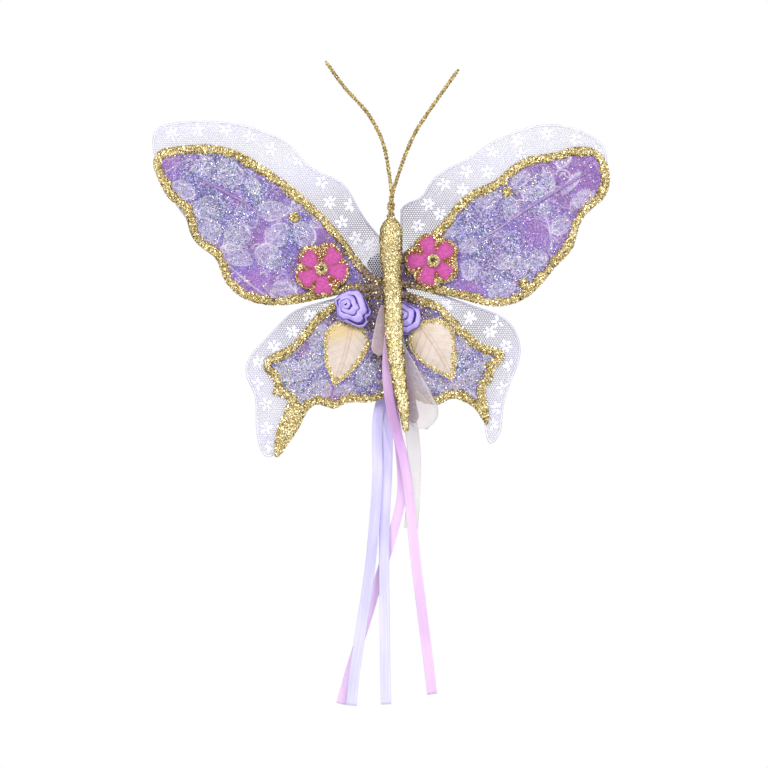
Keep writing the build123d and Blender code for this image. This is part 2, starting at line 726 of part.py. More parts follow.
with BuildPart() as clip_moving_arm:
    with BuildSketch(side_plane(0)):
        with BuildLine():
            Polyline((0, tab_spread), (pivot_reach, jaw_inner), (clip_length, arm_thickness + tip_gap),
                     (clip_length, 2 * arm_thickness + tip_gap), (pivot_reach, jaw_inner + arm_thickness),
                     (0, tab_spread + arm_thickness), close=True)
        make_face()
    extrude(amount=tab_width, both=True)
    with BuildSketch(clip_face):
        arm_outline(jaw_ear_outer)
    extrude(amount=overrun, mode=Mode.INTERSECT)
    add_ears(jaw_ear_inner, jaw_inner + arm_thickness / 2, jaw_ear_radius)
    bore_pin(pin_radius + pin_clearance)
write(clip_moving_arm, "clip_moving_arm")

with BuildPart() as clip_pin:
    with BuildSketch(side_plane(0)):
        with Locations((pivot_reach, pivot_lift)):
            Circle(pin_radius)
    extrude(amount=arm_ear_outer, both=True)
    for side in (-1, 1):
        with BuildSketch(side_plane(side * arm_ear_outer)):
            with Locations((pivot_reach, pivot_lift)):
                Circle(pin_head_radius)
        extrude(amount=side * pin_head_height)
write(clip_pin, "clip_pin")

# Spring: one leg along the fixed tab, the coil round the pin, the other leg under the moving tab
leg_turn = degrees(tan(tab_slope))
coil_quarters = 4 * spring_turns + 2


def coil_point(quarter):
    turn = radians(-90 + (180 + 360 * spring_turns - leg_turn) * quarter / coil_quarters)
    across = coil_length * (quarter / coil_quarters - 0.5)
    return (pivot + clip_along * (spring_radius * cos(turn)) + Vector(0, spring_radius * sin(turn), 0)
            + clip_across * across)


coil = [coil_point(quarter) for quarter in range(coil_quarters + 1)]
leg_way = clip_along * -cos(radians(leg_turn)) + Vector(0, sin(radians(leg_turn)), 0)
spring_points = [coil[0] - clip_along * spring_leg] + coil + [coil[-1] + leg_way * spring_leg]
with BuildPart() as clip_spring:
    with BuildLine() as spring_path:
        Line(spring_points[0], coil[0])
        biarcs(coil, clip_along, leg_way)
        Line(coil[-1], spring_points[-1])
    with BuildSketch(Plane(spring_points[0], z_dir=clip_along)):
        Circle(spring_wire / 2)
    sweep(path=spring_path.line)
write(clip_spring, "clip_spring")
print("clip_spring least gap to itself:", round(spring_pitch - spring_wire, 2))
print("clip_spring volume over section times length:",
      round(clip_spring.part.volume / (pi * spring_wire**2 / 4 * line_length(spring_path)), 3))

print("heart:", [round(v, 3) for v in heart])
print("pivot:", [round(v, 3) for v in pivot], "axis:", [round(v, 4) for v in clip_across])
print("fold lines: x", round(heart.X - fold_x, 3), round(heart.X + fold_x, 3), "y", round(heart.Y, 3))
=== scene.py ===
import math

import bmesh
import bpy
import numpy as np
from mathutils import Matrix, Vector, geometry


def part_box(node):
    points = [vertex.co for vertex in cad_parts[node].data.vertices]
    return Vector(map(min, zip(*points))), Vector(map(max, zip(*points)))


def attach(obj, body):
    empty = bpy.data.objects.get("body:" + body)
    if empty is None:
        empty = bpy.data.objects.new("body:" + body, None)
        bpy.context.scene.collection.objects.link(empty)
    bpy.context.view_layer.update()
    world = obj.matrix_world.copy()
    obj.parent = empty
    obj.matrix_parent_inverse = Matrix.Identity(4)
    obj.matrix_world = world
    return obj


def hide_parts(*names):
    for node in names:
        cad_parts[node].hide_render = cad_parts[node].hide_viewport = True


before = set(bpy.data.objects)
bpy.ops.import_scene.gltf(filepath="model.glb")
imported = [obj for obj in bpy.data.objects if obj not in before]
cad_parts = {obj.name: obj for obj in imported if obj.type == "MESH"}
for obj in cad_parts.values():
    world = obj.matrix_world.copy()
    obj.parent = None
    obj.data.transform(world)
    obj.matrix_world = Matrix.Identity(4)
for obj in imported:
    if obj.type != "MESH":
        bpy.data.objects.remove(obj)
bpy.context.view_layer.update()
scene = bpy.context.scene
rng = np.random.default_rng(11)

MM = 0.001
MM2_TO_M2 = 1e6
TURN = 2 * math.pi
BACKWARDS = np.array((0, 1, 0))
SIDES = ("left", "right")
WINGS = [(part, side) for side in SIDES for part in ("fore", "hind")]
# The heart is the spot of the cloth where the four wings meet
HEART = np.array((-6.676, -5.398, 6.329)) * MM
HEART_FLAT = HEART[[0, 2]]
# Flat shapes are given by marks, columns and rows of a third of a millimetre
HEART_COLUMN, HEART_ROW, MARKS_TO_MM = 393, 300, 3
# Depth of the body's and the antennae's middle line, in millimetres from the heart
BODY_DEPTH = -8.0


def from_heart(points):
    """Points (right, back, up) in millimetres from the heart, as metres in the shared frame."""
    return HEART + np.asarray(points, float) * MM


def places(marks):
    """Marks as millimetres right and up from the heart, with the sizes that follow them."""
    marks = np.asarray(marks, float)
    right = (marks[:, 0] - HEART_COLUMN) / MARKS_TO_MM
    up = (HEART_ROW - marks[:, 1]) / MARKS_TO_MM
    return np.column_stack((right, up, marks[:, 2:] / MARKS_TO_MM))


def flat_places(marks):
    """Marks as (x, z) in metres in the shared frame."""
    return HEART_FLAT + places(marks)[:, :2] * MM


# Number helpers

# Numbers that turn a lattice point and a seed into a random value
LATTICE = np.array((73856093, 19349663, 83492791))
SEED_STEP, KEY_WRAP, SINE_STEP, SINE_GAIN = 7919, 100003, 12.9898, 43758.5453
# Points worked on at once, to spare memory
BATCH = 4000


def lumps(points, pitch, seed=0):
    """Smooth random heights from -1 to 1: values on a lattice blended by smooth steps."""
    points = np.asarray(points, float) / pitch
    axes = points.shape[1]
    cell = np.floor(points).astype(np.int64)
    part = points - cell
    part = part * part * (3 - 2 * part)
    total = np.zeros(len(points))
    for corner in np.ndindex((2,) * axes):
        key = ((cell + corner) * LATTICE[:axes]).sum(axis=1) + seed * SEED_STEP
        value = np.modf(np.abs(np.sin(key % KEY_WRAP * SINE_STEP) * SINE_GAIN))[0] * 2 - 1
        total += value * np.where(np.array(corner) == 1, part, 1 - part).prod(axis=1)
    return total


def waver(line, pitch, seed):
    """Slow random values along a line."""
    along = np.arange(len(line)) * MM
    return lumps(np.column_stack((along, np.zeros(len(line)))), pitch * MM, seed)


def smooth_step(low, high, value):
    """0 below low, 1 above high, and a cubic between them."""
    t = np.clip((value - low) / (high - low), 0, 1)
    return t * t * (3 - 2 * t)


def unit(vectors):
    """Vectors scaled to length 1."""
    return vectors / np.maximum(np.linalg.norm(vectors, axis=-1, keepdims=True), 1e-12)


def circle(around):
    """Even angles of a full turn."""
    return np.arange(around) * TURN / around


def lengths(line):
    """Length of a polyline up to each of its points."""
    return np.concatenate(([0], np.cumsum(np.linalg.norm(np.diff(line, axis=0), axis=1))))


def even(line, step, closed=True):
    """Points of a polyline at even steps."""
    line = np.vstack((line, line[:1])) if closed else np.asarray(line)
    along = lengths(line)
    count = max(int(round(along[-1] / step)), 3)
    marks = np.linspace(0, along[-1], count + (not closed), endpoint=not closed)
    return np.column_stack([np.interp(marks, along, column) for column in line.T])


def through(marks, step):
    """A smooth line through marks, by cubic pieces whose slopes follow the neighbours."""
    marks = np.asarray(marks, float)
    pad = np.vstack((2 * marks[0] - marks[1], marks, 2 * marks[-1] - marks[-2]))
    t = np.linspace(0, 1, 24, endpoint=False)[:, None]
    pieces = []
    for a, b, c, d in zip(pad, pad[1:], pad[2:], pad[3:]):
        square, cube = 2 * a - 5 * b + 4 * c - d, 3 * b - a - 3 * c + d
        pieces.append(0.5 * (2 * b + (c - a) * t + square * t ** 2 + cube * t ** 3))
    return even(np.vstack(pieces + [marks[-1:]]), step, closed=False)


def frames(line, square_to=BACKWARDS):
    """Two unit ways across a line at each of its points, the first square to a given way too."""
    ahead = unit(np.gradient(line, axis=0))
    side_way = unit(np.cross(ahead, square_to))
    return side_way, np.cross(side_way, ahead)


def edge_gap(points, line, closed=True):
    """Distance of each point from a polyline: the least over its straight runs."""
    a, b = (line, np.roll(line, -1, axis=0)) if closed else (line[:-1], line[1:])
    run = b - a
    size = np.maximum((run * run).sum(axis=1), 1e-18)
    best = np.full(len(points), np.inf)
    for start in range(0, len(points), BATCH):
        part = points[start:start + BATCH, None, :] - a
        share = np.clip((part * run).sum(axis=2) / size, 0, 1)
        gap = np.linalg.norm(part - share[..., None] * run, axis=2)
        best[start:start + BATCH] = gap.min(axis=1)
    return best


def inside(points, outline):
    """True for the points within a closed outline, by counting crossings."""
    a, b = outline, np.roll(outline, -1, axis=0)
    rise = np.where(b[:, 1] == a[:, 1], 1e-12, b[:, 1] - a[:, 1])
    result = np.zeros(len(points), bool)
    for start in range(0, len(points), BATCH):
        p = points[start:start + BATCH]
        spans = (a[:, 1] > p[:, None, 1]) != (b[:, 1] > p[:, None, 1])
        cross = (b[:, 0] - a[:, 0]) * (p[:, None, 1] - a[:, 1]) / rise + a[:, 0]
        result[start:start + BATCH] = (spans & (p[:, None, 0] < cross)).sum(axis=1) % 2 == 1
    return result


# Mesh helpers

def add_piece(name, parts, body, slot, *nodes):
    """One mesh object on a body, of parts (points, face groups, material, attributes, smooth)."""
    mesh = bpy.data.meshes.new(name)
    points, loops, sizes, kinds, smooth, values, count = [], [], [], [], [], {}, 0
    for number, (spots, groups, material, extra, soft) in enumerate(parts):
        mesh.materials.append(material)
        for group in groups:
            group = np.asarray(group)
            loops.append(group.ravel() + count)
            sizes.append(np.full(len(group), group.shape[1]))
            kinds.append(np.full(len(group), number))
            smooth.append(np.full(len(group), soft))
        for key, value in extra.items():
            values.setdefault(key, []).append((count, np.asarray(value, float)))
        points.append(spots)
        count += len(spots)
    loops, sizes = np.concatenate(loops), np.concatenate(sizes)
    mesh.vertices.add(count)
    mesh.vertices.foreach_set("co", np.concatenate(points).ravel())
    mesh.loops.add(len(loops))
    mesh.loops.foreach_set("vertex_index", loops)
    mesh.polygons.add(len(sizes))
    mesh.polygons.foreach_set("loop_start", np.concatenate(([0], np.cumsum(sizes)[:-1])))
    mesh.polygons.foreach_set("material_index", np.concatenate(kinds))
    mesh.polygons.foreach_set("use_smooth", np.concatenate(smooth))
    for key, runs in values.items():
        whole = np.zeros(count)
        for start, value in runs:
            whole[start:start + len(value)] = value
        mesh.attributes.new(key, "FLOAT", "POINT").data.foreach_set("value", whole)
    mesh.update(calc_edges=True)
    mesh.validate()
    piece = bpy.data.objects.new(name, mesh)
    scene.collection.objects.link(piece)
    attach(piece, body)
    if nodes:
        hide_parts(*nodes)
    return piece


def tube_faces(rows, around, closed=True):
    """Quads of a grid of rows, each with a number of points; closed joins last to first."""
    first = np.arange(rows - 1)[:, None] * around
    turn = np.arange(around if closed else around - 1)
    low, right = first + turn, first + (turn + 1) % around
    return np.stack((low, right, right + around, low + around), axis=-1).reshape(-1, 4)


def end_caps(rows, around):
    """The two faces that close the ends of such a tube."""
    return [np.arange(around)[None, ::-1], (np.arange(around) + (rows - 1) * around)[None]]


def round_wire(line, radius, around, square_to=BACKWARDS):
    """Points and faces of a wire: a circle, of a radius for each point, carried along a line."""
    side_way, face = frames(line, square_to)
    turn = circle(around)
    across, over = np.cos(turn) * radius, np.sin(turn) * radius
    points = line[:, None] + side_way[:, None] * across[..., None] + face[:, None] * over[..., None]
    caps = end_caps(len(line), around)
    return points.reshape(-1, 3), [tube_faces(len(line), around), *caps]


def front_loops(name):
    """Closed outlines of the widest front face of a CAD node, longest first, as (x, z)."""
    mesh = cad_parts[name].data
    spots = np.empty(len(mesh.vertices) * 3)
    mesh.vertices.foreach_get("co", spots)
    spots = spots.reshape(-1, 3)
    mesh.calc_loop_triangles()
    corners = np.empty(len(mesh.loop_triangles) * 3, int)
    mesh.loop_triangles.foreach_get("vertices", corners)
    corners = corners.reshape(-1, 3)
    normal = crosses(spots, corners)
    area = np.linalg.norm(normal, axis=1)
    front = normal[:, 1] < -0.99 * area
    level = np.round(spots[corners[:, 0], 1] / (0.1 * MM)).astype(int)
    widest = max(np.unique(level[front]), key=lambda one: area[front & (level == one)].sum())
    corners = corners[front & (level == widest)]
    cell = 2e-6
    cells = np.round(spots[:, [0, 2]] / cell).astype(int)
    keys, index = np.unique(cells, axis=0, return_inverse=True)
    edges = edges_of(index.ravel()[corners])
    known = set(map(tuple, edges))
    after = {a: b for a, b in edges if (b, a) not in known and a != b}
    loops = []
    while after:
        one, outline = next(iter(after)), []
        while one in after:
            outline.append(one)
            one = after.pop(one)
        loops.append(keys[outline] * cell)
    return sorted(loops, key=lambda line: lengths(np.vstack((line, line[:1])))[-1], reverse=True)


def crosses(points, corners):
    """Twice the area of each triangle, along its normal: the cross product of two sides."""
    a, b, c = (points[corners[:, k]] for k in range(3))
    return np.cross(b - a, c - a)


def edges_of(corners):
    """Directed edges of triangles."""
    return np.concatenate([corners[:, [k, (k + 1) % 3]] for k in range(3)])


def blanket(outline, pitch):
    """A fine triangle net inside an outline: its points, triangles and distance from the edge."""
    outline = even(outline, pitch)
    low, high = outline.min(axis=0), outline.max(axis=0)
    grid = staggered(low, high, pitch, pitch * 0.87)
    grid = grid[inside(grid, outline)]
    grid = grid[edge_gap(grid, outline) > pitch * 0.45]
    spots = np.vstack((outline, grid))
    rim = [(k, (k + 1) % len(outline)) for k in range(len(outline))]
    grown = 1000
    found = geometry.delaunay_2d_cdt([Vector(p * grown) for p in spots], rim, [], 1, 1e-6)
    spots = np.array([tuple(p) for p in found[0]]) / grown
    corners = np.array(found[2])
    corners = np.where(crosses(spots, corners)[:, None] < 0, corners[:, ::-1], corners)
    return spots, corners, edge_gap(spots, outline)


def staggered(low, high, pitch, rise):
    """Points of a flat lattice in which every second row is shifted by half a pitch."""
    grid = np.stack(np.meshgrid(np.arange(low[0], high[0], pitch),
                                np.arange(low[1], high[1], rise)), axis=-1)
    grid[1::2, :, 0] += pitch / 2
    return grid.reshape(-1, 2)


def sheet_of(flat, corners, front, back):
    """A closed sheet from a flat triangle net, with the depth of its front and its back."""
    ahead = np.column_stack((flat[:, 0], front, flat[:, 1]))
    behind = np.column_stack((flat[:, 0], np.full(len(flat), back), flat[:, 1]))
    known = set(map(tuple, edges_of(corners)))
    rim = np.array([edge for edge in known if (edge[1], edge[0]) not in known])
    count = len(flat)
    walls = np.column_stack((rim[:, 1], rim[:, 0], rim[:, 0] + count, rim[:, 1] + count))
    return np.vstack((ahead, behind)), [corners, corners[:, ::-1] + count, walls]


def quads_to_tris(quads):
    """Each quad cut in two."""
    return np.vstack((quads[:, [0, 1, 2]], quads[:, [0, 2, 3]]))


def front_tris(faces):
    """Triangles of a sheet's front and of its walls."""
    return np.vstack((faces[0], quads_to_tris(faces[2])))


def scatter(points, corners, count, weight=None):
    """Random spots on triangles, by area and weight, with their normals."""
    a, b, c = (points[corners[:, k]] for k in range(3))
    normal = np.cross(b - a, c - a)
    share = np.linalg.norm(normal, axis=1)
    if weight is not None:
        share = share * weight
    pick = rng.choice(len(corners), count, p=share / share.sum())
    u, v = rng.random(count), rng.random(count)
    over = u + v > 1
    u, v = np.where(over, 1 - u, u)[:, None], np.where(over, 1 - v, v)[:, None]
    return a[pick] + u * (b - a)[pick] + v * (c - a)[pick], unit(normal[pick])


def flakes(spots, normals, size, tilt, lift):
    """Six-sided glitter plates, each tilted at random from the surface under it."""
    count = len(spots)
    axis = unit(normals + tilt * rng.normal(size=(count, 3)))
    side_way = unit(np.cross(axis, rng.normal(size=(count, 3))))
    over = np.cross(axis, side_way)
    turn = circle(6)[:, None]
    ring = side_way[:, None, :] * np.cos(turn) + over[:, None, :] * np.sin(turn)
    points = spots[:, None, :] + normals[:, None, :] * lift + ring * size[:, None, None]
    return points.reshape(-1, 3), [np.arange(count * 6).reshape(count, 6)]


# Plates of gold on the body, a flower, its centre, a leaf and an antenna
BODY_PLATES, FLOWER_PLATES, CENTRE_PLATES, LEAF_PLATES, WIRE_PLATES = 17000, 1500, 360, 2500, 2600


def glitter(surface, count, weight, sizes, tilt, lift, material, spread, tinted=None):
    """A part of loose plates on (points, triangles), with sizes and lift in millimetres.

    Their tints follow a beta spread, which tinted may change from the spots and tints.
    """
    spots, normals = scatter(*surface, count, weight)
    size = rng.uniform(*sizes, count) * MM
    plates, groups = flakes(spots, normals, size, tilt, lift * MM)
    tint = rng.beta(*spread, count)
    if tinted:
        tint = tinted(spots, tint)
    return plates, groups, material, {"tint": np.repeat(tint, 6)}, False


# Node helpers

def node(tree, kind, inputs=None, **settings):
    """Adds a shader node; each input is a number, a colour or another node's output."""
    made = tree.nodes.new("ShaderNode" + kind)
    for key, value in settings.items():
        setattr(made, key, value)
    for key, value in (inputs or {}).items():
        socket = made.inputs[key]
        if isinstance(value, bpy.types.NodeSocket):
            tree.links.new(value, socket)
        elif isinstance(value, tuple) and socket.type == "RGBA":
            socket.default_value = (*value[:3], 1)
        else:
            socket.default_value = value
    return made


def new_material(name, **sockets):
    """A principled material with some of its sockets set."""
    material = bpy.data.materials.new(name)
    material.use_nodes = True
    shader = material.node_tree.nodes["Principled BSDF"]
    for key, value in sockets.items():
        shader.inputs[key.replace("_", " ")].default_value = value
    return material, material.node_tree, shader


def feed(tree, shader, **outputs):
    """Links outputs to the shader's sockets of that name."""
    for key, output in outputs.items():
        tree.links.new(output, shader.inputs[key.replace("_", " ")])


def srgb(red, green, blue):
    """A colour given in steps of 0 to 255, as linear light."""
    parts = np.array((red, green, blue)) / 255
    return tuple(np.where(parts <= 0.04045, parts / 12.92, ((parts + 0.055) / 1.055) ** 2.4))


def ramp(tree, factor, *stops):
    """A colour ramp of (place, colour) stops in linear light."""
    made = node(tree, "ValToRGB", {"Fac": factor})
    elements = made.color_ramp.elements
    while len(elements) < len(stops):
        elements.new(0.5)
    for element, (spot, colour) in zip(elements, stops):
        element.position = spot
        element.color = (*colour, 1)
    return made.outputs["Color"]


def shades(tree, factor, *stops):
    """The same from stops (place, red, green, blue) in steps of 0 to 255."""
    return ramp(tree, factor, *((spot, srgb(*colour)) for spot, *colour in stops))


def greys(tree, factor, *stops):
    """The same from stops (place, level) without hue."""
    return ramp(tree, factor, *((spot, (level,) * 3) for spot, level in stops))


def mix(tree, factor, low, high, kind="MIX"):
    """Two colours blended."""
    inputs = {0: factor, 6: low, 7: high}
    return node(tree, "Mix", inputs, data_type="RGBA", blend_type=kind).outputs[2]


def math_node(tree, operation, first, second):
    """Two numbers put together."""
    return node(tree, "Math", {0: first, 1: second}, operation=operation).outputs[0]


def times(tree, first, second):
    """Product of two numbers."""
    return math_node(tree, "MULTIPLY", first, second)


def plus(tree, first, second):
    """Sum of two numbers."""
    return math_node(tree, "ADD", first, second)


def attribute(tree, name):
    """A number that the mesh carries at its points."""
    return node(tree, "Attribute", attribute_name=name).outputs["Fac"]


def object_place(tree):
    """Where a point lies in the piece's own frame."""
    return node(tree, "TexCoord").outputs["Object"]


def band_place(tree):
    """Where a point lies on a ribbon: across and along, in metres."""
    return node(tree, "UVMap", uv_map="UVMap").outputs["UV"]


def noise(tree, scale, detail=3.0):
    """Cloudy noise."""
    inputs = {"Vector": object_place(tree), "Scale": scale, "Detail": detail}
    return node(tree, "TexNoise", inputs).outputs["Fac"]


def voronoi(tree, scale, key="Distance", feature="F1"):
    """Cells: their distance field or their colours."""
    inputs = {"Vector": object_place(tree), "Scale": scale}
    return node(tree, "TexVoronoi", inputs, feature=feature).outputs[key]


def wave(tree, place, scale, distortion, direction="X"):
    """Even bands across one direction."""
    inputs = {"Vector": place, "Scale": scale, "Distortion": distortion}
    return node(tree, "TexWave", inputs, bands_direction=direction).outputs["Fac"]


def bump(tree, shader, height, strength, distance):
    """Fine relief of the surface."""
    inputs = {"Height": height, "Strength": strength, "Distance": distance}
    feed(tree, shader, Normal=node(tree, "Bump", inputs).outputs[0])


# Camera, light and world

FRAME_WIDTH, REACH, SENSOR = 0.256, 0.95, 36
centre = from_heart((-3, 0, -28))
LAMPS = {
    "key": ((-0.55, -0.95, 0.65), 0.55, 7.4, (1, 0.98, 0.95)),
    "fill": ((0.75, -0.85, 0.15), 0.6, 4.0, (0.96, 0.98, 1)),
    "low": ((0.0, -0.7, -0.75), 0.5, 1.8, (1, 1, 1)),
    "back": ((0.25, 0.8, 0.6), 0.6, 4.0, (1, 1, 1)),
    "spark": ((0.12, -0.9, 0.55), 0.05, 2.2, (1, 1, 1)),
}

scene.view_settings.view_transform = "Standard"
camera = bpy.data.cameras.new("camera")
camera.sensor_width = SENSOR
camera.lens = SENSOR * REACH / FRAME_WIDTH
camera.clip_start = 0.01
camera_object = bpy.data.objects.new("camera", camera)
camera_object.location = (centre[0], centre[1] - REACH, centre[2])
camera_object.rotation_euler = (math.pi / 2, 0, 0)
scene.collection.objects.link(camera_object)
scene.camera = camera_object

for lamp_name, (spot, size, power, colour) in LAMPS.items():
    lamp = bpy.data.lights.new(lamp_name, "AREA")
    lamp.shape = "DISK"
    lamp.size = size
    lamp.energy = power
    lamp.color = colour
    holder = bpy.data.objects.new(lamp_name, lamp)
    holder.location = spot
    aim = Vector(centre) - Vector(spot)
    holder.rotation_euler = aim.to_track_quat("-Z", "Y").to_euler()
    scene.collection.objects.link(holder)

world = bpy.data.worlds.new("studio")
scene.world = world
world.use_nodes = True
sky = world.node_tree
sky.nodes.clear()
lit = node(sky, "Background", {"Color": (0.93, 0.95, 1), "Strength": 0.42})
seen = node(sky, "Background", {"Color": (1, 1, 1), "Strength": 1.0})
rays = node(sky, "LightPath").outputs
mirrored = math_node(sky, "MAXIMUM", rays["Is Glossy Ray"], rays["Is Transmission Ray"])
white = math_node(sky, "MAXIMUM", rays["Is Camera Ray"], mirrored)
blend = node(sky, "MixShader", {0: white, 1: lit.outputs[0], 2: seen.outputs[0]})
node(sky, "OutputWorld", {0: blend.outputs[0]})


# Materials

def gold_flake_material(name, dark, middle, pale):
    """Metal plates whose tint runs from dark to nearly white gold."""
    material, tree, shader = new_material(name, Metallic=0.7, Roughness=0.26)
    colour = shades(tree, attribute(tree, "tint"), (0.0, *dark), (0.25, *middle), (0.7, *pale),
                    (1.0, 255, 250, 218))
    rough = greys(tree, noise(tree, 900.0), (0.3, 0.16), (0.7, 0.4))
    feed(tree, shader, Base_Color=colour, Roughness=rough)
    return material


def gold_paste_material():
    """Grainy gold under the plates. Where dark is set it turns to violet-grey tulle darkened as
    painted shade, and a second attribute paints a brown shade into the bead's hole and onto the
    body's sides.
    """
    material, tree, shader = new_material("gold_paste", Metallic=0.5, Roughness=0.5)
    grain = 2600.0
    colour = shades(tree, voronoi(tree, grain, "Color"), (0.1, 74, 56, 24), (0.5, 162, 136, 74),
                    (0.85, 230, 210, 150))
    # Violet-grey tulle, darkened as painted shade, where the gold thins near the middle line
    tulle_in_painted_shade = shades(tree, noise(tree, 1100.0), (0.35, 54, 36, 52), (0.66, 158, 134, 148))
    colour = mix(tree, attribute(tree, "dark"), colour, tulle_in_painted_shade)
    # Painted brown shade in the bead's hole and on the body's sides
    colour = mix(tree, attribute(tree, "painted_shade"), colour, srgb(70, 48, 20))
    feed(tree, shader, Base_Color=colour)
    bump(tree, shader, voronoi(tree, grain), 0.8, 0.0003)
    return material


def pearl_flake_material():
    """Plates that shimmer from blue over green to pearl white."""
    material, tree, shader = new_material("pearl_flake", Metallic=0.45, Roughness=0.2)
    colour = shades(tree, attribute(tree, "tint"), (0.0, 50, 52, 104), (0.2, 92, 106, 172),
                    (0.4, 108, 156, 166), (0.55, 152, 172, 142), (0.7, 190, 180, 212),
                    (0.88, 242, 242, 250), (1.0, 214, 190, 200))
    rough = greys(tree, noise(tree, 700.0), (0.3, 0.12), (0.7, 0.4))
    feed(tree, shader, Base_Color=colour, Roughness=rough)
    return material


def violet_cloth_material():
    """Violet satin under a lace print: tone, lace and thread come from the mesh."""
    material, tree, shader = new_material(
        "violet_cloth", Roughness=0.5, Sheen_Weight=0.35, Sheen_Roughness=0.4,
        Sheen_Tint=(*srgb(210, 190, 245), 1), Specular_IOR_Level=0.4)
    fleck_size = 1900.0
    fleck, lace_share = attribute(tree, "fleck"), attribute(tree, "lace")
    cloth = shades(tree, attribute(tree, "tone"), (0.0, 98, 80, 176), (0.4, 130, 92, 182),
                   (0.75, 142, 92, 176), (1.0, 132, 84, 164))
    flecks = shades(tree, voronoi(tree, fleck_size, "Color"), (0.1, 62, 58, 120),
                    (0.35, 104, 118, 176), (0.55, 118, 150, 156), (0.75, 164, 168, 176),
                    (0.92, 220, 222, 226))
    cloth = mix(tree, times(tree, fleck, 0.3), cloth, flecks)
    mottle = ramp(tree, noise(tree, 420.0, 4.0), (0.3, (0.78, 0.8, 0.84)),
                  (0.7, (1.08, 1.05, 1.03)))
    cloth = mix(tree, 1.0, cloth, mottle, "MULTIPLY")
    mesh = greys(tree, voronoi(tree, 1300.0, "Distance", "DISTANCE_TO_EDGE"), (0.06, 1), (0.22, 0))
    veil = times(tree, lace_share, plus(tree, times(tree, mesh, 0.3), 0.4))
    pale = shades(tree, noise(tree, 700.0, 4.0), (0.32, 152, 139, 183), (0.68, 208, 201, 220))
    cloth = mix(tree, veil, cloth, pale)
    cloth = mix(tree, times(tree, mesh, 0.18), cloth, srgb(190, 184, 206))
    speck = ramp(tree, voronoi(tree, fleck_size, "Color"), (0.12, (0.34, 0.32, 0.36)),
                 (0.35, (0.82, 0.82, 0.84)), (0.6, (1.04, 1.02, 1.04)), (0.88, (2.0, 1.95, 1.9)))
    sparkling = plus(tree, times(tree, fleck, 0.6), 0.35)
    calm = math_node(tree, "SUBTRACT", 1.0, times(tree, lace_share, 0.45))
    cloth = mix(tree, times(tree, sparkling, calm), cloth, speck, "MULTIPLY")
    cloth = mix(tree, times(tree, attribute(tree, "thread"), 0.88), cloth, srgb(232, 228, 238))
    cloth = mix(tree, times(tree, attribute(tree, "shade"), 0.88), cloth, srgb(46, 32, 52))
    feed(tree, shader, Base_Color=cloth)
    weave = wave(tree, object_place(tree), 620.0, 1.2, "DIAGONAL")
    bump(tree, shader, plus(tree, weave, times(tree, mesh, 0.8)), 0.35, 0.00012)
    return material


def lace_material():
    """Twisted thread, darkened by painted shade near the body and whitened by painted light at the
    tips.
    """
    material, tree, shader = new_material("lace_thread", Roughness=0.8, Sheen_Weight=0.3)
    pale = shades(tree, attribute(tree, "white"), (0.0, 80, 70, 86), (0.1, 162, 156, 174),
                  (0.6, 214, 211, 234), (1.0, 243, 242, 254))
    wear = greys(tree, noise(tree, 300.0), (0.3, 0.94), (0.7, 1.03))
    feed(tree, shader, Base_Color=mix(tree, 1.0, pale, wear, "MULTIPLY"))
    bump(tree, shader, wave(tree, object_place(tree), 1500.0, 3.0), 0.4, 0.0001)
    return material


def satin_material(name, pale, deep, darker, rough=0.34):
    """Ribbon satin: fine weft lines across, long soft streaks of painted sheen, painted shade and a
    woven edge from the mesh.
    """
    material, tree, shader = new_material(
        name, Roughness=rough, Sheen_Weight=0.25, Sheen_Roughness=0.35, Specular_IOR_Level=0.45)
    layout = band_place(tree)
    long = node(tree, "Mapping", {"Vector": layout, "Scale": (900.0, 30.0, 1.0)}).outputs[0]
    # Lighter and darker streaks along the ribbon: painted sheen
    painted_sheen_streak = node(tree, "TexNoise", {"Vector": long, "Scale": 1.0, "Detail": 3.0}).outputs["Fac"]
    colour = shades(tree, painted_sheen_streak, (0.3, *deep), (0.7, *pale))
    colour = mix(tree, attribute(tree, "shade"), colour, srgb(*darker))
    colour = mix(tree, times(tree, attribute(tree, "edge"), 0.25), colour, srgb(*deep))
    feed(tree, shader, Base_Color=colour)
    bump(tree, shader, wave(tree, layout, 900.0, 0.6, "Y"), 0.25, 0.00008)
    return material


def organza_material(name, low, high, veil):
    """Sheer ribbon: a fine weave whose gaps show what is behind."""
    material, tree, shader = new_material(name, Roughness=0.35, Sheen_Weight=0.4)
    layout = band_place(tree)
    edge, shade = attribute(tree, "edge"), attribute(tree, "shade")
    weave = math_node(tree, "MAXIMUM", *(wave(tree, layout, 700.0, 0.8, way) for way in "XY"))
    colour = shades(tree, noise(tree, 200.0), (0.3, *low), (0.7, *high))
    colour = mix(tree, shade, colour, srgb(196, 184, 194))
    colour = mix(tree, edge, colour, srgb(226, 218, 224))
    cover = plus(tree, times(tree, weave, 0.1), times(tree, edge, 0.3))
    cover = plus(tree, plus(tree, cover, times(tree, shade, 0.16)), veil)
    feed(tree, shader, Base_Color=colour, Alpha=cover)
    bump(tree, shader, weave, 0.2, 0.00006)
    return material


def felt_material(name, low, high, edge_colour=None):
    """Fibrous felt, in another colour along its edge where one is given."""
    material, tree, shader = new_material(
        name, Roughness=0.85, Sheen_Weight=0.5, Sheen_Roughness=0.5)
    fibre = noise(tree, 1500.0, 5.0)
    colour = shades(tree, fibre, (0.32, *low), (0.68, *high))
    if edge_colour:
        colour = mix(tree, attribute(tree, "edge"), colour, srgb(*edge_colour))
    feed(tree, shader, Base_Color=colour)
    bump(tree, shader, fibre, 0.5, 0.0002)
    return material


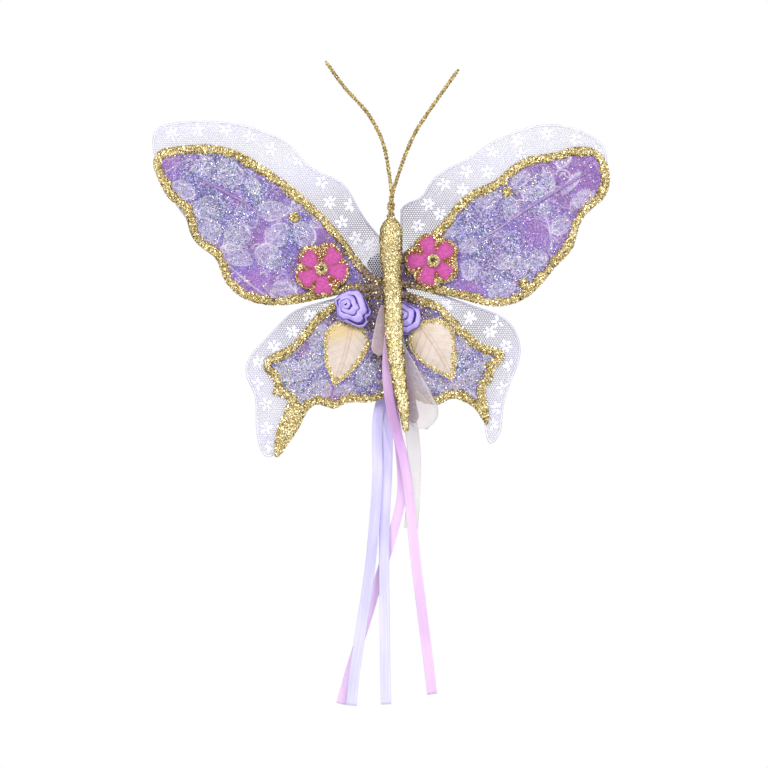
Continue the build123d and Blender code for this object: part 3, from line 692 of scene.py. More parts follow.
def leaf_material():
    """Cream cloth, gilded where warm is set and darker beside its veins."""
    material, tree, shader = new_material(
        "leaf_cloth", Roughness=0.55, Sheen_Weight=0.3, Specular_IOR_Level=0.35)
    cream = shades(tree, noise(tree, 240.0, 4.0), (0.3, 212, 196, 184), (0.7, 228, 214, 205))
    cream = mix(tree, attribute(tree, "warm"), cream, srgb(216, 188, 112))
    cream = mix(tree, times(tree, attribute(tree, "shade"), 0.7), cream, srgb(184, 156, 134))
    feed(tree, shader, Base_Color=cream)
    bump(tree, shader, wave(tree, object_place(tree), 520.0, 1.5), 0.25, 0.0001)
    return material


def plain_material(name, low, high, scale, **sockets):
    """Two close tones, in linear light, over fine noise and a little bump of the same grain."""
    material, tree, shader = new_material(name, **sockets)
    grain = noise(tree, scale, 4.0)
    feed(tree, shader, Base_Color=ramp(tree, grain, (0.3, low), (0.7, high)))
    bump(tree, shader, grain, 0.15, 0.0001)
    return material


GOLD = gold_flake_material("gold_flake", (88, 70, 28), (196, 171, 102), (243, 229, 178))
GOLD_FINE = gold_flake_material("gold_flake_fine", (132, 110, 50), (214, 190, 118), (246, 232, 176))
PASTE = gold_paste_material()
PEARL = pearl_flake_material()
VIOLET = violet_cloth_material()
LACE = lace_material()
PINK = satin_material("pink_satin", (242, 213, 245), (230, 194, 236), (196, 142, 208))
LILAC = satin_material("lilac_satin", (230, 226, 250), (208, 202, 246), (178, 170, 236))
# A darker copy of the pink satin: painted shade on the loop under the organza and on the knot
PINK_IN_PAINTED_SHADE = satin_material("pink_satin_in_painted_shade", (164, 116, 144), (130, 86, 114), (104, 70, 92))
ROSE = satin_material("rose_satin", (212, 198, 255), (190, 170, 248), (70, 42, 148), 0.3)
ORGANZA = organza_material("organza", (206, 194, 198), (226, 217, 220), 0.1)
ROSY_ORGANZA = organza_material("rosy_organza", (214, 186, 198), (234, 210, 218), 0.3)
PINK_FELT = felt_material("pink_felt", (178, 62, 138), (208, 94, 172), (132, 58, 34))
STRIP_FELT = felt_material("strip_felt", (70, 50, 96), (104, 78, 134))
PAD_FELT = felt_material("pad_felt", (196, 186, 206), (226, 220, 232))
LEAF = leaf_material()
GLUE = plain_material("hot_melt", srgb(226, 214, 186), srgb(240, 232, 212), 260.0, Roughness=0.3,
                      Subsurface_Weight=0.3, Subsurface_Scale=0.002)
ENAMEL = plain_material("clip_enamel", srgb(20, 19, 22), srgb(38, 36, 40), 500.0, Roughness=0.3,
                        Coat_Weight=0.4)
STEEL = plain_material("clip_steel", srgb(150, 150, 154), srgb(196, 196, 200), 700.0, Metallic=1.0,
                       Roughness=0.28)
PAPER = plain_material("floor_paper", (0.86, 0.86, 0.87), (0.9, 0.9, 0.9), 30.0, Roughness=0.8)


# Ribbons

PINK_RIGHT_ROUTE = [
    (-1.1, -4.2, -11.4), (-1.8, -4.2, -16.6), (-2.1, -4.3, -25.5), (-1.0, -4.3, -34.7),
    (1.0, -4.1, -43.3), (3.3, -3.9, -51.7), (5.0, -3.8, -61.3), (6.3, -3.7, -75.0),
    (8.0, -3.7, -90.7), (10.0, -3.6, -106.7), (11.7, -3.6, -120.0), (13.0, -3.5, -131.0),
]
PINK_LEFT_ROUTE = [
    (-0.4, -3.5, -11.4), (-0.9, -3.5, -17.3), (-1.1, -3.55, -27.3), (0.3, -3.5, -37.3),
    (1.9, -3.3, -46.7), (2.9, -3.1, -56.0), (3.1, -3.0, -64.7), (1.2, -2.9, -73.3),
    (-1.7, -2.8, -83.3), (-5.3, -2.8, -94.7), (-9.0, -2.75, -107.3), (-14.3, -2.8, -122.7),
    (-17.3, -2.8, -134.3),
]
LILAC_LEFT_ROUTE = [
    (-0.6, 0.62, -22.0), (-1.6, 1.3, -28.0), (-4.0, 2.5, -33.6), (-5.3, 2.7, -40.0),
    (-5.2, 1.9, -48.0), (-5.0, -0.6, -58.0), (-5.7, -3.4, -68.0), (-6.6, -5.2, -79.0),
    (-7.8, -5.6, -91.0), (-9.8, -5.6, -104.0), (-11.8, -5.5, -117.0), (-13.2, -5.4, -126.0),
    (-13.8, -5.3, -134.5),
]
LILAC_MIDDLE_ROUTE = [
    (0.6, 1.12, -22.0), (0.2, 2.1, -28.5), (-1.4, 3.2, -35.0), (-1.8, 3.3, -43.0),
    (-1.8, 2.2, -52.0), (-2.2, -0.6, -63.0), (-2.9, -3.7, -75.0), (-3.0, -4.4, -86.0),
    (-2.9, -4.4, -98.0), (-2.7, -4.4, -111.0), (-2.6, -4.35, -123.0), (-2.3, -4.3, -134.3),
]
ORGANZA_ROUTE = [
    (1.0, -2.2, -11.4), (1.8, -2.4, -17.0), (2.8, -2.8, -26.0), (4.6, -3.0, -35.0),
    (6.3, -2.5, -43.5), (7.1, -2.1, -51.5), (7.0, -2.0, -60.0), (6.6, -2.0, -68.5),
    (6.0, -2.1, -76.0),
]
# A loop's route: share of the way out, and share of its spread to the front or the back
LOOP_SHARES = [(0, -0.1), (0.2, -0.55), (0.6, -0.9), (0.95, -0.75), (1.04, 0.0), (0.95, 0.75),
               (0.6, 0.9), (0.2, 0.55), (0, 0.1)]
BAND_POINTS = 11
SELVEDGE = 0.85


def line_of(route, step):
    """Even points on the smooth spline whose control points are the route's points."""
    curve = bpy.data.curves.new("route", "CURVE")
    curve.dimensions = "3D"
    spline = curve.splines.new("NURBS")
    spline.points.add(len(route) - 1)
    for point, spot in zip(spline.points, from_heart(route)):
        point.co = (*spot, 1)
    spline.order_u = 3
    spline.use_endpoint_u = True
    spline.resolution_u = 16
    holder = bpy.data.objects.new("route", curve)
    mesh = bpy.data.meshes.new_from_object(holder)
    points = np.array([tuple(v.co) for v in mesh.vertices])
    bpy.data.objects.remove(holder)
    bpy.data.curves.remove(curve)
    bpy.data.meshes.remove(mesh)
    return even(points, step, closed=False)


def ribbon(name, line, width, thickness, material, slot, roll, cup, shade):
    """A flat band along a line, with its length.

    Width and roll may vary along it, cup bows its face, and its edges are thicker, as woven.
    """
    count, around = len(line), 2 * BAND_POINTS
    width, cup, shade = (np.broadcast_to(value, count) for value in (width, cup, shade))
    roll = np.broadcast_to(roll, count)[:, None]
    side_way, face = frames(line)
    side_way, face = (side_way * np.cos(roll) + face * np.sin(roll),
                      face * np.cos(roll) - side_way * np.sin(roll))
    u = np.linspace(-1, 1, BAND_POINTS)
    bow = cup[:, None] * (1 - u * u)
    woven = np.abs(u) > SELVEDGE
    half = thickness / 2 * (1 + 0.25 * woven)
    middle = (line[:, None, :] + side_way[:, None, :] * (u * width[:, None] / 2)[..., None]
              + face[:, None, :] * bow[..., None])
    lift = face[:, None, :] * half[None, :, None]
    points = np.concatenate((middle - lift, (middle + lift)[:, ::-1]), axis=1).reshape(-1, 3)
    faces = [tube_faces(count, around), *end_caps(count, around)]
    extra = {"edge": np.tile(np.concatenate((woven, woven[::-1])).astype(float), count),
             "shade": np.repeat(shade, around)}
    piece = add_piece(f"{name}_ribbon", [(points, faces, material, extra, True)],
                      "body_and_clip", slot, name)
    runs = lengths(line)
    across = np.tile(np.concatenate((u, u[::-1])), count) * np.repeat(width, around) / 2
    flat = np.stack((across, np.repeat(runs, around)), axis=-1)
    layer = piece.data.uv_layers.new(name="UVMap")
    corner = np.empty(len(piece.data.loops), int)
    piece.data.loops.foreach_get("vertex_index", corner)
    layer.data.foreach_set("uv", flat[corner].ravel())
    return piece, float(runs[-1])


def tail(name, route, width, thickness, material, slot, seed, shades_along):
    """A hanging ribbon along its route, darkened by (share of the length, darkness) pairs."""
    line = line_of(route, 1.0 * MM)
    along = np.linspace(0, 1, len(line))
    roll = 0.35 * waver(line, 22, seed) * smooth_step(0, 0.15, along)
    cup = 0.35 * MM * waver(line, 15, seed + 1)
    shade = np.interp(along, *zip(*shades_along)) + 0.16 * waver(line, 9, seed + 2)
    piece, length = ribbon(name, line, width * MM, thickness * MM, material, slot, roll, cup,
                           np.clip(shade, 0, 1))


def loop(name, root, end, depths, material, slot, spread, swell=0.8):
    """A ribbon loop whose face is a drop: out along the front, round, and back behind.

    Root and end are (right, up, half width) in millimetres from the heart.
    """
    root, end = np.array(root), np.array(end)
    axis = end[:2] - root[:2]
    whole = np.linalg.norm(axis)
    stretch = 1 + end[2] / whole
    route = [(root[0] + axis[0] * s * stretch, depths[0] + (depths[1] - depths[0]) * s + spread * d,
              root[1] + axis[1] * s * stretch) for s, d in LOOP_SHARES]
    line = line_of(route, 0.5 * MM)
    start = from_heart((root[0], 0, root[1]))
    reach = np.linalg.norm((line - start)[:, [0, 2]], axis=1) / MM
    half = root[2] + (end[2] - root[2]) * np.clip(reach / whole, 0, 1) ** swell
    rounded = np.sqrt(np.maximum(end[2] ** 2 - 0.93 * (reach - whole) ** 2, 0.2))
    half = np.where(reach > whole, rounded, half)
    cup, shade = 0.3 * MM * waver(line, 9, 5), np.clip(0.1 + 0.3 * waver(line, 5, 6), 0, 1)
    return ribbon(name, line, 2 * half * MM, 0.1 * MM, material, slot, 0.0, cup, shade)[0]


organza_left = loop("organza_loop_left", (-3.3, -1.8, 0.3), (-4.5, -15.6, 2.75), (-2.4, -2.45),
                    ROSY_ORGANZA, "organza", 0.6, 0.5)
organza_right = loop("organza_loop_right", (1.0, -12.2, 0.6), (9.3, -37.0, 5.7), (-4.25, -4.95),
                     ORGANZA, "organza", 0.5)
# The pink loop under the organza, in the darker pink satin: painted shade
pink_folded = loop("pink_loop", (2.0, -12.3, 0.6), (6.5, -38.6, 2.1), (-3.2, -3.85),
                   PINK_IN_PAINTED_SHADE, "pink_satin", 0.5)
tail("pink_tail_right", PINK_RIGHT_ROUTE, 3.3, 0.22, PINK, "pink_satin", 3,
     [(0, 0.5), (0.12, 0.4), (0.19, 0.85), (0.3, 0.85), (0.39, 0.3), (0.55, 0.1), (1, 0.1)])
tail("pink_tail_left", PINK_LEFT_ROUTE, 3.1, 0.22, PINK, "pink_satin", 8,
     [(0, 0.6), (0.4, 0.3), (0.55, 0.0), (1, 0.0)])
tail("lilac_tail_left", LILAC_LEFT_ROUTE, 3.5, 0.22, LILAC, "lilac_satin", 14,
     [(0, 0.7), (0.15, 0.35), (0.3, 0.1), (0.45, 0.45), (0.6, 0.3), (0.8, 0.1), (1, 0.0)])
tail("lilac_tail_middle", LILAC_MIDDLE_ROUTE, 3.4, 0.22, LILAC, "lilac_satin", 21,
     [(0, 0.7), (0.15, 0.35), (0.35, 0.2), (0.45, 0.5), (0.6, 0.2), (0.8, 0.0), (1, 0.1)])
tail("organza_tail", ORGANZA_ROUTE, 4.6, 0.12, ORGANZA, "organza", 27,
     [(0, 1.0), (0.5, 0.9), (0.7, 0.4), (1, 0.1)])

# Wings

CLOTH_FRONT, CLOTH_BACK = HEART[1] - 0.6 * MM, HEART[1] - 0.03 * MM
# Lace petals over the cloth: middle, length and width in marks, turn in degrees
PETALS = {
    "fore_left": [
        (230, 176, 26, 22, 15), (227, 165, 18, 12, 10), (183, 191, 24, 18, 160),
        (207, 211, 26, 18, 150), (274, 211, 30, 18, 185), (277, 235, 26, 20, 230),
        (304, 234, 26, 20, 305), (300, 205, 22, 16, 50), (210, 233, 26, 22, 110),
        (236, 238, 30, 22, 45), (236, 256, 34, 18, 160), (268, 257, 26, 22, 120),
        (283, 290, 26, 20, 10), (203, 166, 22, 12, 20), (253, 186, 18, 11, 120),
        (318, 222, 18, 11, 20),
    ],
    "fore_right": [
        (489, 199, 24, 15, 200), (511, 208, 22, 16, 280), (534, 193, 26, 15, 0),
        (520, 179, 20, 15, 55), (563, 160, 18, 12, 60), (582, 200, 24, 16, 25),
        (560, 226, 20, 17, 50), (545, 211, 14, 10, 90), (536, 260, 22, 15, 40),
        (520, 266, 20, 16, 100), (505, 262, 16, 14, 70), (502, 290, 26, 16, 200),
        (469, 270, 20, 16, 90), (449, 231, 18, 14, 30), (468, 246, 20, 14, 30),
        (549, 181, 24, 9, 110), (571, 184, 26, 8, 50),
    ],
    "hind_left": [
        (297, 379, 34, 20, 75), (318, 391, 26, 18, 20), (318, 338, 28, 14, 65),
        (312, 362, 22, 18, 60), (365, 376, 24, 16, 60), (284, 372, 18, 12, 120),
        (345, 391, 22, 12, 10), (300, 402, 18, 12, 45),
    ],
    "hind_right": [
        (461, 352, 24, 15, 60), (482, 363, 20, 14, 40), (468, 378, 24, 15, 20),
        (428, 384, 22, 12, 165), (470, 395, 22, 10, 110), (447, 330, 18, 10, 130),
        (446, 388, 24, 9, 0),
    ],
}
# Places where the bare cloth shows strongest: middle and size
BARE = {
    "fore_left": [(258, 240, 14), (252, 288, 22), (236, 200, 8), (322, 232, 12), (166, 164, 14),
                  (222, 250, 9)],
    "fore_right": [(537, 233, 17), (582, 178, 22), (560, 196, 12), (470, 290, 14)],
    "hind_left": [(303, 348, 9), (330, 392, 8)],
    "hind_right": [(450, 385, 9), (476, 408, 8)],
}
# Stems of couched thread that join the petals
STEMS = {
    "fore_left": [
        [(166, 172), (190, 160), (206, 174), (222, 182)],
        [(250, 172), (257, 186), (260, 200), (259, 214), (254, 228), (240, 222)],
        [(188, 206), (212, 196), (224, 206), (222, 220)],
        [(222, 262), (236, 272), (250, 284), (266, 296)],
        [(256, 248), (268, 244), (280, 252), (278, 266)],
        [(276, 182), (288, 190), (294, 204)], [(196, 152), (206, 160), (200, 172)],
    ],
    "fore_right": [
        [(553, 175), (560, 170), (568, 172), (569, 180), (561, 187), (552, 185), (549, 179)],
        [(514, 192), (522, 191), (532, 193)], [(516, 201), (526, 200), (536, 201)],
        [(544, 214), (549, 226), (551, 238), (552, 250)],
        [(483, 243), (492, 249), (500, 246), (508, 234)], [(560, 205), (566, 208), (574, 203)],
        [(480, 272), (490, 274), (498, 268), (512, 256)], [(454, 224), (462, 216), (474, 214)],
    ],
    "hind_left": [
        [(286, 362), (294, 366), (302, 374)], [(316, 384), (320, 374), (324, 366)],
        [(348, 384), (358, 382), (366, 386)],
    ],
    "hind_right": [
        [(430, 386), (446, 392), (462, 388), (478, 398)], [(464, 346), (474, 354), (486, 356)],
        [(455, 362), (464, 366), (470, 360)],
    ],
}
# Places in deep shade close to the body: middle and size
GLOOM = {
    "fore_left": [(346, 296, 10), (370, 290, 15), (380, 284, 12)],
    "fore_right": [(410, 290, 12), (436, 296, 7), (406, 276, 9)],
    "hind_left": [(374, 303, 17), (376, 328, 13), (378, 356, 10), (333, 318, 7)],
    "hind_right": [(408, 298, 14), (424, 312, 12), (409, 342, 10), (450, 340, 7)],
}
# Patches with much loose glitter: middle and size
SPARKLE = {
    "fore_left": [(215, 170, 34), (225, 208, 36), (256, 196, 20), (276, 262, 14), (240, 240, 14),
                  (296, 232, 14)],
    "fore_right": [(478, 224, 30), (515, 262, 34), (490, 262, 26), (540, 200, 24), (505, 200, 22)],
    "hind_left": [(312, 358, 24), (300, 385, 20), (365, 375, 16), (280, 372, 14)],
    "hind_right": [(466, 365, 24), (450, 385, 18), (478, 375, 16)],
}
# Places that the gold covers beyond the border: middle and radius
GILDED = {
    "fore_left": [(294, 217, 5), (352, 250, 6)],
    "fore_right": [(507, 192, 5), (524, 284, 5), (420, 240, 7), (412, 270, 7)],
    "hind_left": [(296, 412, 12), (290, 425, 12), (284, 440, 10)],
    "hind_right": [(484, 392, 7), (486, 405, 5)],
}
# How far from the middle line, in millimetres, the gold thins out and is darkened by painted shade
THIN_GOLD_IN_SHADE = {"fore_left": (8, 17), "fore_right": (5, 12), "hind_left": (11, 17), "hind_right": (5, 12)}
# Least share of glitter, darkness along the edge, gold dust to a square millimetre, darkness
CLOTH = {"fore": (0.16, 0.4, 0.9, 0.0), "hind": (0.3, 0.62, 2.6, 0.13)}
# Plates to a square millimetre, and curls of thread on a wing
PEARL_TO_MM2, GOLD_TO_MM2, CURLS = 3.6, 9, 54
CLOTH_PITCH, BORDER_PITCH, BORDER_ROOT = 0.38 * MM, 0.42 * MM, 2.65 * MM


def spread_of(flat, marks):
    """How far each flat point lies from each mark, in shares of the mark's size."""
    gap = np.linalg.norm(flat[:, None, :] - flat_places(marks), axis=2)
    return gap / (places(marks)[:, 2] * MM)


def glow(flat, marks):
    """A bell of height 1 over each mark; the highest of them at each flat point."""
    return np.exp(-spread_of(flat, marks) ** 2).max(axis=1)


def figure_marks(flat, petals, stems):
    """Cover of the lace petals, which are ovals that widen outwards, and their cords.

    The cords are bells across the ovals' edges, their ribs, open curls and the stems.
    """
    cover, thread = np.zeros(len(flat)), np.zeros(len(flat))
    grain = lumps(flat, 1.2 * MM, 21)
    patchy = np.clip(0.6 + 0.5 * lumps(flat, 2.5 * MM, 22), 0.1, 1)
    for at, (_, _, length, width, turn) in zip(places(petals)[:, :2], petals):
        half_length, half_width = length / 2 / MARKS_TO_MM, width / 2 / MARKS_TO_MM
        d = (flat - HEART_FLAT) / MM - at
        cos, sin = math.cos(math.radians(turn)), math.sin(math.radians(turn))
        a = (d[:, 0] * cos + d[:, 1] * sin) / half_length
        b = (d[:, 1] * cos - d[:, 0] * sin) / half_width
        r = np.hypot(a, b / (1 + 0.22 * np.clip(a, -1, 1))) + 0.07 * grain
        cover = np.maximum(cover, 1 - smooth_step(0.8, 1.03, r))
        rib = 0.35 * np.exp(-((np.sin(math.pi * 1.5 * b) / 0.3) ** 2)) * (r < 0.8)
        cord = np.exp(-(((r - 1) * half_width / 0.22) ** 2)) * patchy
        thread = np.maximum(thread, np.maximum(rib, cord))
    for _ in range(CURLS):
        d = flat - flat[rng.integers(len(flat))]
        size, start, span = rng.uniform(1.0, 3.2) * MM, rng.uniform(0, 6.3), rng.uniform(1.5, 4.5)
        swept = (np.arctan2(d[:, 1], d[:, 0]) - start) % TURN
        off = (np.hypot(*d.T) - size * (1 - 0.08 * swept)) / (0.2 * MM)
        thread = np.maximum(thread, 0.8 * np.exp(-off * off) * (swept < span) * patchy)
    for stem in stems:
        line = HEART_FLAT + through(places(stem), 0.5) * MM
        off = edge_gap(flat, line, closed=False) / (0.22 * MM)
        thread = np.maximum(thread, patchy * np.exp(-(off ** 2)))
    return cover, thread


def wing(part, side):
    """Cloth of a wing with its print and loose glitter; lumps, petals and threads raise it."""
    key, name, body = f"{part}_{side}", f"{part}_wing_{side}", f"{side}_wings"
    least_glitter, edge_dark, dust_to_mm2, dark = CLOTH[part]
    outline = front_loops(name)[0]
    flat, corners, gap = blanket(outline, CLOTH_PITCH)
    cover, thread = figure_marks(flat, PETALS[key], STEMS[key])
    bare = glow(flat, BARE[key])
    fleck = np.clip(glow(flat, SPARKLE[key]) + least_glitter, 0, 1) * (1 - 0.7 * bare)
    tone = 0.35 + 0.35 * lumps(flat, 9 * MM, 3) + 0.2 * lumps(flat, 3 * MM, 4) + 0.6 * bare
    gloom = glow(flat, GLOOM[key]) * (0.9 + 0.35 * lumps(flat, 1.3 * MM, 23))
    stain = 0.22 * np.clip(lumps(flat, 5 * MM, 9), 0, 1)
    shade = np.clip(np.clip(0.9 - gap / (3.6 * MM), 0, 1) * edge_dark + stain + dark, 0, 1)
    shade = np.clip(np.maximum(shade * (1 - 0.7 * cover), gloom * (1 - 0.5 * thread)), 0, 1)
    relief = 0.1 * lumps(flat, 5 * MM, 5) + 0.06 * cover + 0.14 * thread
    flap = 1 - smooth_step(0.0, 2.0 * MM, gap)
    front = CLOTH_FRONT - np.clip(relief, -0.15, 0.4) * MM * (1 - flap)
    points, faces = sheet_of(flat, corners, front, CLOTH_BACK)
    values = {"lace": cover, "thread": thread, "tone": np.clip(tone, 0, 1), "shade": shade,
              "fleck": fleck}
    extra = {kind: np.tile(value, 2) for kind, value in values.items()}
    cloth = add_piece(f"{key}_cloth", [(points, faces, VIOLET, extra, True)],
                      body, "violet_cloth", name)

    area = float(np.abs(crosses(flat, corners)).sum() / 2)
    ahead = (points[:len(flat)], corners)

    def on_faces(value):
        """Mean of a value over each triangle's corners."""
        return value[corners].mean(axis=1)

    want = np.clip(on_faces(fleck) * (1 - on_faces(shade)), 0.03, 1)
    pearl = glitter(ahead, int(area * MM2_TO_M2 * PEARL_TO_MM2), want, (0.09, 0.2), 0.45, 0.06,
                    PEARL, (0.9, 0.9))
    close = np.clip(np.exp(-on_faces(gap) / (3 * MM)) + 0.12 + 0.3 * on_faces(gloom), 0.02, 1)
    dust = glitter(ahead, int(area * MM2_TO_M2 * dust_to_mm2), close, (0.09, 0.2), 0.5, 0.06,
                   GOLD_FINE, (1.1, 1.6))
    sparkle = add_piece(f"{key}_sparkle", [pearl, dust], body, "violet_cloth")
    gold_edge(part, side, outline)


def gold_edge(part, side, outline):
    """Glitter paste along a wing's edge, with loose plates of gold lying on it.

    Its height is a dome across the border's width, plus lumps of two sizes.
    """
    key = f"{part}_{side}"
    ring = even(outline, 0.4 * MM)
    along = unit(np.roll(ring, -1, axis=0) - np.roll(ring, 1, axis=0))
    outward = np.column_stack((along[:, 1], -along[:, 0]))
    outward = outward * (1 if inside(ring + 0.05 * MM * outward, ring).mean() < 0.5 else -1)
    from_root = (HEART[0] - ring[:, 0]) / MM
    swollen = smooth_step(2.6, 3.2, from_root) * (1 - smooth_step(11, 16, from_root))
    swollen = swollen * (ring[:, 1] > HEART[2] - 9 * MM) * (side == "left")
    ring = ring + outward * (0.4 * MM * swollen)[:, None]
    flat, corners, _ = blanket(ring, BORDER_PITCH)
    root = np.abs(ring[:, 0] - HEART[0]) < BORDER_ROOT
    first = np.flatnonzero(~root & np.roll(root, 1))[0]
    free = np.roll(ring, -first, axis=0)[~np.roll(root, -first)]
    gap = edge_gap(flat, free, closed=False)
    width = (2.65 + 0.5 * lumps(flat, 3.5 * MM, 6) + 0.6 * lumps(flat, 1.0 * MM, 7)) * MM
    patch = spread_of(flat, GILDED[key]).min(axis=1) + 0.25 * lumps(flat, 1.4 * MM, 8)
    share = np.minimum(gap / width, patch)
    used, index = np.unique(corners[(share[corners] < 1).sum(axis=1) >= 2], return_inverse=True)
    corners = index.reshape(-1, 3)
    flat, gap, share = flat[used], gap[used], share[used]
    dome = np.clip(1 - np.abs(2 * np.clip(share, 0, 1) - 1) ** 4, 0, 1) * (gap > 1e-6)
    dome = np.where(share < 0.5, np.maximum(dome, 0.45), dome)
    height = 0.1 + 0.56 * dome + 0.22 * lumps(flat, 0.9 * MM, 9) + 0.14 * lumps(flat, 2.4 * MM, 10)
    front = CLOTH_FRONT - np.clip(height * MM, 0.05 * MM, None)
    points, faces = sheet_of(flat, corners, front, HEART[1] - 0.3 * MM)
    tris = front_tris(faces)
    area = np.linalg.norm(crosses(points, tris), axis=1).sum() / 2 * MM2_TO_M2

    def thin_gold_in_shade(spots):
        """Share of thin gold in painted shade: full near the middle line, with a ragged end, and
        none far below.
        """
        ragged = np.abs(spots[:, 0] - HEART[0]) / MM + 1.5 * lumps(spots, 1.6 * MM, 24)
        above = smooth_step(-16 * MM, -9 * MM, spots[:, 2] - HEART[2])
        return (1 - smooth_step(*THIN_GOLD_IN_SHADE[key], ragged)) * above

    def tinted(spots, tint):
        """Tints in patches, darker near the middle line as painted shade."""
        tint = np.clip(tint + 0.2 * lumps(spots, 6 * MM, 12), 0, 1)
        return tint * (1 - 0.4 * thin_gold_in_shade(spots))

    weight = 1 - 0.62 * thin_gold_in_shade(points[tris].mean(axis=1))
    gold = glitter((points, tris), int(area * GOLD_TO_MM2), weight, (0.14, 0.3), 0.5, 0.07,
                   GOLD, (1.2, 1.2), tinted)
    # The paste turns to violet-grey tulle in painted shade near the middle line
    add_piece(f"{key}_gilding", [(points, faces, PASTE, {"dark": 0.92 * thin_gold_in_shade(points)}, True), gold],
              f"{side}_wings", "glitter_paste", f"{part}_border_{side}")


def pleat(side, marks, pale):
    """A pinched seam in the forewing: half a tube that swells and fades along its length, its ridge
    paled as a painted highlight and its underside in painted shade.
    """
    flat = even(places(marks), 0.6, closed=False)
    line = from_heart(np.column_stack((flat[:, 0], np.full(len(flat), -0.62), flat[:, 1])))
    count, around = len(line), 9
    across = frames(line)[0]
    turn = np.linspace(0, math.pi, around)
    fade = np.sin(np.linspace(0.12, math.pi - 0.12, count)) ** 0.4
    wide = 0.52 * MM * fade * (1 + 0.2 * waver(line, 4, 31))
    tall = 0.5 * MM * fade
    points = (line[:, None, :] + across[:, None, :] * (np.cos(turn) * wide[:, None])[..., None]
              - BACKWARDS * (np.sin(turn) * tall[:, None])[..., None])
    extra = {"tone": np.full(count * around, 0.75),
             "shade": np.tile(np.where(turn < 0.7, 0.8, 0.0), count),
             # Painted highlight: the ridge turns paler from one end of the seam to the other
             "lace": np.repeat(np.linspace(*pale, count), around)}
    faces = [tube_faces(count, around, closed=False)]
    add_piece(f"pleat_{side}", [(points.reshape(-1, 3), faces, VIOLET, extra, True)],
              f"{side}_wings", "violet_cloth", f"fore_spar_{side}")


for part, side in WINGS:
    wing(part, side)
pleat("left", [(200, 180), (222, 190), (240, 200), (262, 215)], (0.3, 0.6))
pleat("right", [(596, 168), (575, 180), (550, 195), (525, 210), (500, 228), (465, 248)],
      (0.1, 1.2))

# Lace

STARS = {
    "fore_left": [
        (172, 134), (198, 130), (226, 129), (250, 137), (271, 149), (299, 160), (322, 182),
        (330, 202), (342, 222), (356, 238), (370, 245), (280, 132), (307, 148), (340, 172),
        (351, 205),
    ],
    "fore_right": [
        (418, 226), (428, 204), (444, 184), (466, 171), (440, 214), (463, 190), (492, 152),
        (488, 172), (518, 140), (547, 134), (576, 140), (596, 152), (522, 155), (414, 248),
    ],
    "hind_left": [
        (310, 316), (292, 332), (274, 346), (259, 362), (257, 384), (266, 404), (266, 428),
        (271, 446), (330, 306),
    ],
    "hind_right": [
        (446, 306), (470, 318), (490, 332), (506, 346), (510, 366), (503, 388), (497, 408),
        (492, 424), (498, 322),
    ],
}
NET_PITCH = 0.8 * MM
# The lace stops this far from the middle line, so that a folding wing clears the strip
ROOT_ROOM = 2.85 * MM
# How much whiter the net is at its tips than near the body, as painted light
FADE = {"fore": 0.72, "hind": 0.58}
# A sewn star's petal: middle from the star's, and points of its outline
PETAL_OUT, PETAL_POINTS = 1.35 * MM, 10


